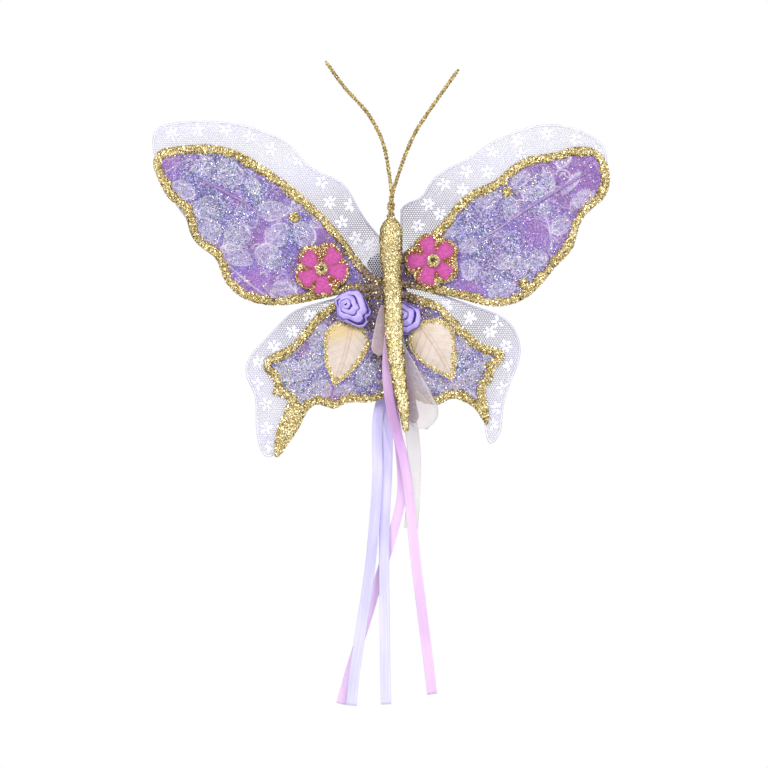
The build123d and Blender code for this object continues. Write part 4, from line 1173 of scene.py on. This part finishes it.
def lace(part, side):
    """Net lace: a honeycomb of threads with a corded edge, and small sewn stars."""
    key = f"{part}_{side}"
    outline = even(front_loops(f"{part}_lace_{side}")[0], 0.5 * MM)
    apart = outline[:, 0] - HEART[0]
    outline[:, 0] = HEART[0] + np.sign(apart) * np.maximum(np.abs(apart), ROOT_ROOM)
    wing_line = even(front_loops(f"{part}_wing_{side}")[0], 1.0 * MM)

    def within(ends):
        """The runs whose ends both lie in the outline."""
        return ends[inside(ends[:, 0], outline) & inside(ends[:, 1], outline)]

    def depth(flat):
        """Flat behind the wing, in slow waves beyond it."""
        out_by = np.where(inside(flat, wing_line), 0, edge_gap(flat, wing_line))
        ripple = 0.7 * lumps(flat, 9 * MM, 41) * smooth_step(0.5 * MM, 6 * MM, out_by)
        return HEART[1] + (0.2 + ripple) * MM

    def threads(starts, stops, thick, white, painted_shade_reach):
        """Four-sided threads between pairs of points, darkened by painted shade within a distance
        of the heart.
        """
        run = unit(stops - starts)
        thick = np.broadcast_to(thick, len(run))[:, None]
        side_way = np.column_stack((-run[:, 1], run[:, 0])) * thick / 2
        reach = run * thick * 0.2
        ends = np.stack((starts - reach, stops + reach), axis=1)
        flat = np.stack((ends + side_way[:, None], ends, ends - side_way[:, None], ends), axis=2)
        y = depth(flat.reshape(-1, 2)).reshape(flat.shape[:3]) + np.array((0, -0.08, 0, 0.08)) * MM
        points = np.stack((flat[..., 0], y, flat[..., 1]), axis=-1).reshape(-1, 3)
        quads = (np.arange(len(run))[:, None, None] * 8 + tube_faces(2, 4)).reshape(-1, 4)
        far = np.linalg.norm(points[:, [0, 2]] - HEART_FLAT, axis=1)
        white = np.repeat(np.broadcast_to(white, len(run)), 8)
        # Painted light whitens the threads towards the tips
        pale = np.clip(white + FADE[part] * smooth_step(24 * MM, 60 * MM, far), 0, 1)
        # Painted shade darkens them close to the heart
        pale = pale * smooth_step(painted_shade_reach * MM, 1.7 * painted_shade_reach * MM, far)
        return points, [quads], LACE, {"white": pale}, True

    cells = staggered(outline.min(axis=0) - NET_PITCH, outline.max(axis=0) + NET_PITCH, NET_PITCH,
                      NET_PITCH * math.sqrt(3) / 2)
    turn = np.radians((30, 90, 150, 210))
    ring = NET_PITCH / math.sqrt(3) * np.column_stack((np.cos(turn), np.sin(turn)))
    ends = within(np.concatenate(
        [np.stack((cells + ring[k], cells + ring[k + 1]), axis=1) for k in range(3)]))
    near_by = np.linalg.norm(ends[:, 0] - HEART_FLAT, axis=1)
    thick = 0.18 + 0.12 * smooth_step(16 * MM, 30 * MM, near_by)
    up = (ends[:, 0, 1] - HEART[2]) / MM
    over_tab = (key == "fore_left") * smooth_step(3, 6, up) * (1 - smooth_step(17, 20, up))
    over_tab = over_tab * (1 - smooth_step(10, 13, (HEART[0] - ends[:, 0, 0]) / MM))
    thick = thick * (1 - over_tab) + (0.25 + 0.15 * smooth_step(12.6, 14.6, up)) * over_tab
    net = threads(ends[:, 0], ends[:, 1], thick * MM, 0.1 + 0.65 * over_tab, 6)
    cord = threads(outline, np.roll(outline, -1, axis=0), 0.7 * MM, 0.5, 10)
    bars = within(star_bars(flat_places(STARS[key])))
    parts = [net, cord, threads(bars[:, 0], bars[:, 1], 0.32 * MM, 0.7, 6)]
    parts += sewn_stars(flat_places(STARS[key]), outline, depth)
    piece = add_piece(f"{key}_net", parts, f"{side}_wings", "lace_net", f"{part}_lace_{side}")


def star_bars(middles):
    """Short runs of the two lines of stitches between each star and the next, if it is near."""
    bars = [np.empty((0, 2, 2))]
    for start, stop in zip(middles, middles[1:]):
        run = stop - start
        if 5 * MM < np.linalg.norm(run) < 15 * MM:
            over = unit(np.array((-run[1], run[0]))) * 0.8 * MM
            for shift in (-over, over):
                pair = np.array((start + 0.2 * run + shift, stop - 0.2 * run + shift))
                line = even(pair, 0.9 * MM, closed=False)
                bars.append(np.stack((line[:-1], line[1:]), axis=1))
    return np.concatenate(bars)


def sewn_stars(middles, outline, depth):
    """Stars of five or six oval petals, each a low cone on either side of the net."""
    petal_turn = circle(PETAL_POINTS)[:, None]
    order = np.arange(PETAL_POINTS)
    fan = np.column_stack((order, (order + 1) % PETAL_POINTS, np.full(PETAL_POINTS, PETAL_POINTS)))
    ovals = []
    for at in middles:
        spin, petals = rng.uniform(0, 1.2), rng.integers(5, 7)
        for petal in range(petals):
            angle = spin + petal * TURN / petals + rng.uniform(-0.12, 0.12)
            long, wide = rng.uniform(0.85, 1.2) * MM, rng.uniform(0.42, 0.66) * MM
            out_way = np.array((math.cos(angle), math.sin(angle)))
            over = np.array((-out_way[1], out_way[0]))
            middle = at + out_way * PETAL_OUT
            oval = middle + np.cos(petal_turn) * out_way * long + np.sin(petal_turn) * over * wide
            oval = np.vstack((oval, middle))
            if inside(oval, outline).all():
                y = depth(oval) - 0.16 * MM
                y[-1] -= 0.12 * MM
                ovals.append(np.column_stack((oval[:, 0], y, oval[:, 1])))
    if not ovals:
        return []
    fans = np.vstack([fan + number * (PETAL_POINTS + 1) for number in range(len(ovals))])
    front = np.vstack(ovals)
    both = np.vstack((front, front + (0, 0.34 * MM, 0)))
    faces = [fans, fans[:, ::-1] + len(front)]
    return [(both, faces, LACE, {"white": np.ones(len(both))}, True)]


for part, side in WINGS:
    lace(part, side)

# Felt flowers, leaves and roses

# Turn of each petal in degrees, its half width at the heart, how that grows outwards, and the hub
FLOWERS = {"left": ((50, -7, -88, 210, 143), 0.07, 0.36, 0.31),
           "right": ((36, 104, 182, 253, -37), 0.13, 0.22, 0.42)}
LEAF_ENDS = {"left": ((352, 322), (335, 388)), "right": ((418, 322), (456, 381))}
LEAF_WARMTH = {"left": 0.85, "right": 0.25}
VEIN_STEP, PETAL_PITCH = 2.9, 0.36 * MM
ROSE_OUTLINES = {
    "left": [
        (334, 299.5), (341, 293.5), (350, 289), (358, 290.5), (363, 295), (366, 301),
        (371, 311.5), (370, 315), (366, 318), (367.5, 322), (364.5, 326.5), (359, 327.5),
        (351.5, 324.5), (343.5, 321.5), (337, 318.5), (336, 311.5), (336, 306),
    ],
    "right": [
        (389, 320), (391, 309), (398, 302), (404, 301.5), (408, 304), (414.5, 306), (419, 309),
        (420.5, 317), (420, 324.5), (417, 328.5), (412, 331.5), (408, 335), (402, 334), (393, 330),
    ],
}
ROSE_HEARTS = {"left": (345, 304.5), "right": (402, 315)}
# Across a rose's band: share of the way to the next turn, drop in millimetres, and painted shade,
# dark in the creases and light at the lips
ROSE_BAND = [(-0.3, -1.6, 1.0), (-0.16, -0.7, 0.8), (-0.05, -0.12, 0.1), (0.04, 0.0, 0.0),
             (0.14, -0.1, 0.04), (0.34, -0.3, 0.16), (0.58, -0.5, 0.22), (0.78, -0.72, 0.34),
             (0.88, -1.15, 0.95), (1.05, -1.7, 1.0)]
ROSE_STEPS = 640


def flower(side):
    """A felt flower: each petal is a squared oval that widens outwards, with a crease."""
    name = f"flower_{side}"
    low, high = np.array(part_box(name))
    middle = (low + high)[[0, 2]] / 2
    size = (high[2] - low[2]) / 2
    outline = even(front_loops(name)[0], 0.3 * MM) - middle
    span = np.hypot(*outline.T)
    fuller = span + 0.5 * np.clip(0.97 * size - span, 0, None)
    flat, corners, gap = blanket(middle + outline * (fuller / span)[:, None], PETAL_PITCH)
    away = flat - middle
    reach = np.hypot(*away.T) / size
    turns, slim, flare, hub = FLOWERS[side]
    angle = np.arctan2(away[:, 1], away[:, 0])
    near = (angle[:, None] - np.radians(turns) + math.pi) % TURN - math.pi
    a, b = reach[:, None] * np.cos(near), reach[:, None] * np.sin(near)
    petal = (((a - 0.46) / 0.41) ** 4 + (b / (slim + flare * np.clip(a, 0, 1))) ** 4) ** 0.25
    order, own = np.arange(len(a)), petal.argmin(axis=1)
    a, b = a[order, own], b[order, own]
    petal = np.minimum(petal.min(axis=1), reach / hub) + 0.12 * lumps(flat, 1.1 * MM, 53)
    # The red-brown glitter edge, with a weaker painted shade towards the petal edges
    edge = np.maximum(smooth_step(0.9, 1.05, petal), 0.3 * smooth_step(0.55, 0.95, petal))
    crease = np.exp(-((b / 0.035) ** 2)) * (a > 0.25) * (a < 0.75)
    crown = 0.15 + 0.5 * np.clip(1 - petal, 0, 1) ** 0.5 - 0.14 * crease
    crown = crown + 0.1 * lumps(flat, 2.2 * MM, 51) + 0.08 * lumps(flat, 0.8 * MM, 52)
    dip = 0.3 * np.exp(-((reach / 0.27) ** 2))
    front = low[1] + 0.65 * MM - (crown - dip) * MM * smooth_step(0, 0.5 * MM, gap)
    points, faces = sheet_of(flat, corners, front, low[1] + 1.1 * MM)
    tris = front_tris(faces)
    outer = 0.7 + 1.6 * smooth_step(0.6, 0.9, reach[corners].mean(axis=1))
    beside = np.clip(petal[corners].mean(axis=1) - 0.9, 0, 0.3) * outer + 1e-4
    weight = np.concatenate((beside, np.ones(len(tris) - len(corners))))
    gold = glitter((points, tris), FLOWER_PLATES, weight, (0.12, 0.26), 0.5, 0.05,
                   GOLD, (1.2, 1.6))
    felt = (points, faces, PINK_FELT, {"edge": np.tile(edge, 2)}, True)
    add_piece(f"felt_flower_{side}", [felt, gold], f"{side}_wings", "pink_felt", name)


def flower_centre(side):
    """A gold bead: a turned profile whose top dips in the middle, made a little lumpy."""
    name = f"flower_centre_{side}"
    low, high = np.array(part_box(name))
    at = (low + high) / 2
    rows, around = 9, 28
    steps, up = (0, 0.3, 0.6, 0.8, 1), np.linspace(0, 1, rows)
    wide = (high[0] - low[0]) / 2 * np.interp(up, steps, (0.95, 1, 0.75, 0.45, 0.06))[:, None]
    lift = np.interp(up, steps, (0, 0.5, 1, 0.9, 0.55))[:, None] * (high[1] - low[1])
    turn = circle(around)
    points = np.stack((at[0] + wide * np.cos(turn), high[1] - lift + 0 * turn,
                       at[2] + wide * np.sin(turn)), axis=-1).reshape(-1, 3)
    points += 0.08 * MM * lumps(points, 0.7 * MM, 57)[:, None]
    quads = tube_faces(rows, around)
    tris = quads_to_tris(quads)
    out_by = np.hypot(*(points - at)[:, [0, 2]].T) / ((high[0] - low[0]) / 2)
    weight = np.clip(out_by[tris].mean(axis=1) * 2 - 0.7, 0.02, 1)
    gold = glitter((points, tris), CENTRE_PLATES, weight, (0.14, 0.28), 0.6, 0.05,
                   GOLD, (1.6, 1.2))
    # The middle of the bead takes a painted brown shade, where its hole lies in shade
    painted_shade = {"painted_shade": 1 - smooth_step(0.25, 0.55, out_by)}
    bead = (points, [quads, end_caps(rows, around)[1]], PASTE, painted_shade, True)
    add_piece(f"gold_centre_{side}", [bead, gold], f"{side}_wings", "gold_bead", name)


def leaf(side):
    """A stiffened cloth leaf: crowned, with a midrib, slanting veins and a gilded edge."""
    name = f"leaf_{side}"
    flat, corners, gap = blanket(front_loops(name)[0], PETAL_PITCH)
    start, stop = flat_places(LEAF_ENDS[side])
    way = unit(stop - start)
    run = (flat - start) @ way / MM
    off = (flat - start) @ np.array((-way[1], way[0])) / MM
    bend = off - 0.5 * np.sin(run / 6)
    beside = np.abs(bend)
    slant = run - 0.75 * beside
    rib = np.exp(-((bend / 0.32) ** 2))
    veins = np.exp(-((np.sin(slant * math.pi / VEIN_STEP) / 0.3) ** 2))
    veins = veins * smooth_step(0.3, 1.2, beside)
    crown = 0.75 * smooth_step(0, 4.0, gap / MM) + 0.1 * lumps(flat, 3 * MM, 61)
    front = HEART[1] - (0.75 + crown + 0.22 * rib + 0.2 * veins - 0.16) * MM
    points, faces = sheet_of(flat, corners, front, HEART[1] - 0.62 * MM)
    stalk_end = LEAF_WARMTH[side] * (1 - smooth_step(2, 9, run + 0.5 * off))
    warm = np.clip(1 - smooth_step(0.2, 1.9, gap / MM) + stalk_end, 0, 1) * 0.85
    shade = 0.55 * np.exp(-((np.sin((slant + 0.55) * math.pi / VEIN_STEP) / 0.22) ** 2))
    shade = np.clip(0.8 * np.exp(-(((beside - 0.55) / 0.25) ** 2)) + shade, 0, 1)
    shade = shade * smooth_step(0.5, 2.0, gap / MM)
    ragged = gap / MM + 0.4 * lumps(flat, 0.9 * MM, 62) - 0.5 * lumps(flat, 7 * MM, 63)
    rim = 1 - smooth_step(0.4, 1.5, ragged)
    tris = front_tris(faces)
    weight = np.concatenate((np.clip(rim[corners].mean(axis=1), 0, 1) + 1e-4,
                             np.ones(len(tris) - len(corners))))
    gold = glitter((points, tris), LEAF_PLATES, weight, (0.14, 0.3), 0.5, 0.06,
                   GOLD, (1.8, 1.5))
    cloth = (points, faces, LEAF, {"warm": np.tile(warm, 2), "shade": np.tile(shade, 2)}, True)
    add_piece(f"cloth_leaf_{side}", [cloth, gold], f"{side}_wings", "leaf_cloth", name)


def rose(side, turns, spin):
    """A ribbon rose: one satin band wound outwards, each turn sloping down to the next lip."""
    name = f"rose_{side}"
    low, high = np.array(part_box(name))
    tall = high[1] - low[1]
    at = flat_places([ROSE_HEARTS[side]])[0]
    outline = HEART_FLAT + even(places(ROSE_OUTLINES[side]), 0.25) * MM
    ways = np.arctan2(outline[:, 1] - at[1], outline[:, 0] - at[0])
    order = np.argsort(ways)
    spans = np.linalg.norm(outline - at, axis=1)[order]
    wound = np.linspace(0, turns, ROSE_STEPS)
    angle = spin + wound * TURN
    edge = np.interp(angle, ways[order], spans, period=TURN)

    def share(turned):
        """Share of the way from the heart to the edge after a number of turns."""
        return np.clip(0.03 + 0.97 * (turned / turns) ** 1.45, 0, 1)

    here = share(wound)
    step = np.maximum(share(wound + 1) - here, 0.03)
    squared = smooth_step(0.08, 0.5, here)
    reach = np.minimum(spans.mean() * (1 - squared) + edge * squared, edge)
    v, drop, shade = (np.array(column) for column in zip(*ROSE_BAND))
    radius = (here[:, None] + step[:, None] * v) * reach[:, None]
    fold = (wound * 2.6) % 1
    fold = np.where(fold < 0.86, (fold / 0.86) ** 1.6, (1 - fold) / 0.14)
    fold = fold * smooth_step(0.9, 1.6, wound)
    radius = np.clip(radius * (0.94 + 0.14 * fold)[:, None], 0, edge[:, None] * 1.01)
    opened = smooth_step(0, 1.0, wound)[:, None]
    ripple = (0.1 + 0.35 * here) * MM * lumps(np.column_stack((angle, angle * 0)), 0.9, 71)
    lip = (tall * (0.98 - 0.5 * here ** 1.2) + (ripple + 0.3 * MM * fold))[:, None]
    height = lip + drop * MM * (0.5 + 0.6 * here[:, None]) * (0.4 + 0.6 * opened)
    height = np.clip(height, 0.05 * MM, tall * 0.995)
    points = np.stack((at[0] + np.cos(angle)[:, None] * radius, high[1] - height,
                       at[1] + np.sin(angle)[:, None] * radius), axis=-1).reshape(-1, 3)
    count = len(outline)
    narrow = 0.25 * at + 0.75 * outline
    foot = np.column_stack((narrow[:, 0], np.full(count, high[1] - 0.05 * MM), narrow[:, 1]))
    top = np.column_stack((outline[:, 0], np.full(count, high[1] - 0.42 * tall), outline[:, 1]))
    skirt = np.vstack((foot, top))
    if side == "right":
        points[:, 0] = np.maximum(points[:, 0], low[0])
        skirt[:, 0] = np.maximum(skirt[:, 0], low[0])
    # Painted shade of the creases, weaker on the first turn, with random patches
    tone = (shade * (0.35 + 0.65 * opened)).ravel() + 0.15 * lumps(points, 1.3 * MM, 72)
    band_faces = [tube_faces(ROSE_STEPS, len(v), closed=False)]
    skirt_faces = [tube_faces(2, count), np.arange(count)[None]]
    band = (points, band_faces, ROSE, {"shade": np.clip(tone, 0, 1)}, True)
    under = (skirt, skirt_faces, ROSE, {"shade": np.repeat((0.9, 0.15), count)}, True)
    add_piece(f"ribbon_rose_{side}", [band, under], f"{side}_wings", "rose_ribbon", name)


for side in SIDES:
    flower(side)
    flower_centre(side)
for side in SIDES:
    leaf(side)
rose("left", 4.1, 0.6)
rose("right", 3.2, 2.4)

# Body and antennae

# Row, left edge and right edge of the body
TORSO = [
    (219, 389, 394), (221, 386, 397), (225, 382, 400), (230, 380, 402), (240, 379, 402.5),
    (250, 380, 402), (260, 380, 401.5), (270, 382, 401), (280, 382.5, 400.5), (300, 384, 402),
    (320, 384.5, 402.5), (340, 385.5, 403), (360, 388, 404), (380, 392, 406), (400, 396, 408.5),
    (420, 401, 408.5), (430, 403, 408), (432, 404.5, 406.5),
]
ANTENNAE = {
    "left": [(326, 64), (345, 90), (368, 116), (383, 145), (390, 182), (391.5, 197), (391, 212),
             (390.5, 228)],
    "right": [(458, 72), (438, 100), (416, 133), (404, 160), (394.5, 188), (392, 199), (391, 212),
              (390.5, 228)],
}
# The antennae's wires run together below the fork; heights in millimetres above the heart
FORK, HUB_HEIGHTS, HUB_RIGHT = 103 / 3, (74 / 3, 110 / 3), (-0.83, -0.5)
WIRE_STEP = 0.3


def glitter_body():
    """The rolled body: a circle whose width follows the rows, rucked above and clotted below, with
    a painted highlight down its front and painted shade on its sides.
    """
    rows, around = np.linspace(219, 432, 220), 72
    marks = np.array(TORSO)
    left, right = (np.interp(rows, marks[:, 0], marks[:, k]) for k in (1, 2))
    blur = np.ones(5) / 5
    middle = np.convolve(np.pad((left + right) / 2, 2, "edge"), blur, "valid")
    half = np.convolve(np.pad((right - left) / 2, 2, "edge"), blur, "valid") / MARKS_TO_MM - 0.12
    at = places(np.column_stack((middle, rows)))
    turn = circle(around)
    skin = np.stack((at[:, :1] + half[:, None] * np.cos(turn),
                     BODY_DEPTH + half[:, None] * np.sin(turn), at[:, 1:] + 0 * turn), axis=-1)
    skin = from_heart(skin.reshape(-1, 3))
    away = np.tile(np.column_stack((np.cos(turn), np.sin(turn), 0 * turn)), (len(rows), 1))
    lower = np.repeat(smooth_step(290, 330, rows), around)
    ruck = (1 - lower) * lumps(skin * (0.35, 0.35, 1), 0.9 * MM, 81) * 0.1
    clot = (0.08 + 0.12 * lower) * lumps(skin, 0.9 * MM, 82)
    skin = skin + away * ((ruck + clot) * MM)[:, None]
    quads = tube_faces(len(rows), around)[:, ::-1]
    caps = [cap[:, ::-1] for cap in end_caps(len(rows), around)]
    spots, normals = scatter(skin, quads_to_tris(quads), BODY_PLATES)
    coarse = smooth_step(-3, 8, (HEART[2] - spots[:, 2]) / MM)
    size = rng.uniform(0.11, 0.2, BODY_PLATES) + coarse * rng.uniform(0.02, 0.14, BODY_PLATES)
    plates, groups = flakes(spots, normals, size * MM, 0.45, 0.05 * MM)
    tint = rng.beta(1.25, 1.1, BODY_PLATES) + 0.15 * lumps(spots, 4 * MM, 83)
    # Plates facing the front are painted lighter and those on the sides darker: painted highlight
    # and painted shade
    tint = np.clip(tint + 0.62 * smooth_step(0.15, 0.9, -normals[:, 1]) - 0.46, 0, 1)
    # The paste on the body's sides takes a painted brown shade
    painted_side_shade = 0.75 * (1 - smooth_step(0.1, 0.85, -away[:, 1]))
    paste = (skin, [quads, *caps], PASTE, {"painted_shade": painted_side_shade}, True)
    gold = (plates, groups, GOLD_FINE, {"tint": np.repeat(tint, 6)}, False)
    add_piece("glitter_body", [paste, gold], "body_and_clip", "gold_glitter_felt", "torso")


def antenna(side, phase):
    """Tinsel wire of two twisted plies; both wires wind round each other below the fork."""
    flat = through(places(ANTENNAE[side]), WIRE_STEP)
    line = np.column_stack((flat[:, 0], np.full(len(flat), BODY_DEPTH), flat[:, 1]))
    down = np.clip(FORK - flat[:, 1], 0, None)
    swing = smooth_step(0, 2.0, down) * 0.72
    angle = phase + down / 7.0 * TURN
    hub = np.interp(flat[:, 1], HUB_HEIGHTS, HUB_RIGHT)
    share = smooth_step(0, 2.5, down)
    line[:, 0] = line[:, 0] * (1 - share) + hub * share + swing * np.cos(angle)
    line[:, 1] += swing * np.sin(angle)
    count, around = len(line), 16
    along = np.arange(count) * WIRE_STEP
    twist = circle(around)[None, :] - along[:, None] * TURN / 2.4
    taper = np.interp(np.arange(count), (0, 3, count), (0.5, 1, 1))
    radius = 0.56 * MM * taper[:, None] * (1 + 0.2 * np.cos(2 * twist))
    knobs = lumps(np.column_stack((along, along * 0)), 0.8, 91)
    points, faces = round_wire(from_heart(line), radius * (1 + 0.12 * knobs[:, None]), around)
    gold = glitter((points, quads_to_tris(faces[0])), WIRE_PLATES, None, (0.12, 0.24), 0.6, 0.05,
                   GOLD, (1.5, 1.7))
    add_piece(f"tinsel_{side}", [(points, faces, PASTE, {}, True), gold],
              "body_and_clip", "gold_tinsel_wire", f"antenna_{side}")


glitter_body()
antenna("left", math.pi)
antenna("right", 0.0)

# Middle strip, pad, knot, clip and floor

# The clip leans by this much; its spring's coil runs between two angles, and its jaw opens
TILT = math.radians(31)
CLIP_ALONG = np.array((math.sin(TILT), 0, -math.cos(TILT)))
CLIP_ACROSS = np.array((math.cos(TILT), 0, math.sin(TILT)))
PIVOT = np.mean(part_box("clip_pin"), axis=0)
COIL_START, COIL_STOP, JAW_TURN = math.radians(-90), math.radians(797.9), math.radians(22)
COIL_RADIUS, COIL_WIDTH, LEG, WIRE_RADIUS = 1.6 * MM, 2.75 * MM, 7 * MM, 0.3 * MM
FLOOR_RADIUS, FLOOR_HEIGHT = 1.2, -0.36


def felt_block(name, node_name, material):
    """A cut felt block: a bevelled box, divided finely and made fuzzy by small lumps."""
    low, high = np.array(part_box(node_name))
    size = high - low
    build = bmesh.new()
    bmesh.ops.create_cube(build, size=1.0)
    for vertex in build.verts:
        vertex.co = Vector((low + high) / 2 + np.array(vertex.co) * (size - 0.06 * MM))
    bmesh.ops.bevel(build, geom=build.edges[:], offset=float(size.min()) * 0.3, segments=3,
                    affect="EDGES", profile=0.5)
    for _ in range(2):
        long_edges = [e for e in build.edges if e.calc_length() > 0.9 * MM]
        bmesh.ops.subdivide_edges(build, edges=long_edges, cuts=5, use_grid_fill=True)
    bmesh.ops.triangulate(build, faces=build.faces[:])
    spots = np.array([tuple(v.co) for v in build.verts])
    corners = np.array([[v.index for v in f.verts] for f in build.faces])
    build.free()
    fuzz = np.column_stack([lumps(spots, 0.8 * MM, seed) for seed in (95, 96, 97)])
    spots = spots + 0.04 * MM * fuzz
    add_piece(name, [(spots, [corners], material, {}, True)], "body_and_clip", "felt", node_name)


def tied_knot():
    """Ribbon wound tight: a squared tube, pinched at its ends, with four folds along it."""
    low, high = np.array(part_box("ribbon_knot"))
    rows, around = 60, 48
    up, turn = np.linspace(0, 1, rows)[:, None], circle(around)
    pinch = 1 - 0.16 * np.abs(2 * up - 1) ** 3
    fold = 0.05 * np.cos(up * TURN * 4) + 0.03 * np.cos(up * 40 + 2 * turn)
    square = (np.abs(np.cos(turn)) ** 3 + np.abs(np.sin(turn)) ** 3) ** (-1 / 3)
    middle, half = (low + high) / 2, (high - low) / 2
    swell = (pinch + fold - 0.06) * square
    points = np.stack((middle[0] + half[0] * swell * np.cos(turn),
                       middle[1] + half[1] * swell * np.sin(turn),
                       low[2] + (high[2] - low[2]) * up + 0 * turn), axis=-1).reshape(-1, 3)
    shade = np.repeat(np.clip(0.4 - 6 * fold[:, 0], 0, 1), around)
    faces = [tube_faces(rows, around), *end_caps(rows, around)]
    # The knot in the darker pink satin: painted shade
    add_piece("tied_knot", [(points, faces, PINK_IN_PAINTED_SHADE, {"shade": shade}, True)],
              "body_and_clip", "pink_satin", "ribbon_knot")


def coil_line(start, stop, count):
    """Points of the coil: a circle round the pin that moves along it from start to stop."""
    turn = np.linspace(start, stop, count)[:, None]
    across = COIL_WIDTH * ((turn - COIL_START) / (COIL_STOP - COIL_START) - 0.5)
    around = np.cos(turn) * CLIP_ALONG + np.sin(turn) * BACKWARDS
    return PIVOT + COIL_RADIUS * around + across * CLIP_ACROSS


def spring_wire(name, line, body, *nodes):
    """A round wire along a line."""
    points, faces = round_wire(line, WIRE_RADIUS, 14, CLIP_ACROSS)
    add_piece(name, [(points, faces, STEEL, {}, True)], body, "clip_steel", *nodes)


felt_block("felt_strip", "backing_strip", STRIP_FELT)
felt_block("felt_pad", "clip_pad", PAD_FELT)
tied_knot()

leg_steps = np.linspace(0, 1, 12)[:, None]
coil = coil_line(COIL_START, COIL_STOP + JAW_TURN, 240)
fixed_leg = coil[0] - LEG * CLIP_ALONG * leg_steps[:0:-1]
spring_wire("spring_coil", np.vstack((fixed_leg, coil)), "body_and_clip", "clip_spring")
turned = coil_line(COIL_STOP - 0.15, COIL_STOP, 4)
leg_way = -math.sin(COIL_STOP) * CLIP_ALONG + math.cos(COIL_STOP) * BACKWARDS
loose_leg = turned[-1] + LEG * leg_way * leg_steps[1:]
spring_wire("spring_leg", np.vstack((turned, loose_leg)), "clip_jaw")

for name, material in (("glue_block", GLUE), ("clip_fixed_arm", ENAMEL),
                       ("clip_moving_arm", ENAMEL), ("clip_pin", STEEL)):
    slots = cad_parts[name].data.materials
    slots.clear()
    slots.append(material)

build = bmesh.new()
bmesh.ops.create_circle(build, cap_ends=True, radius=FLOOR_RADIUS, segments=96)
floor_mesh = bpy.data.meshes.new("floor")
build.to_mesh(floor_mesh)
build.free()
floor_mesh.materials.append(PAPER)
floor = bpy.data.objects.new("floor", floor_mesh)
floor.location = (centre[0], 0, FLOOR_HEIGHT)
scene.collection.objects.link(floor)
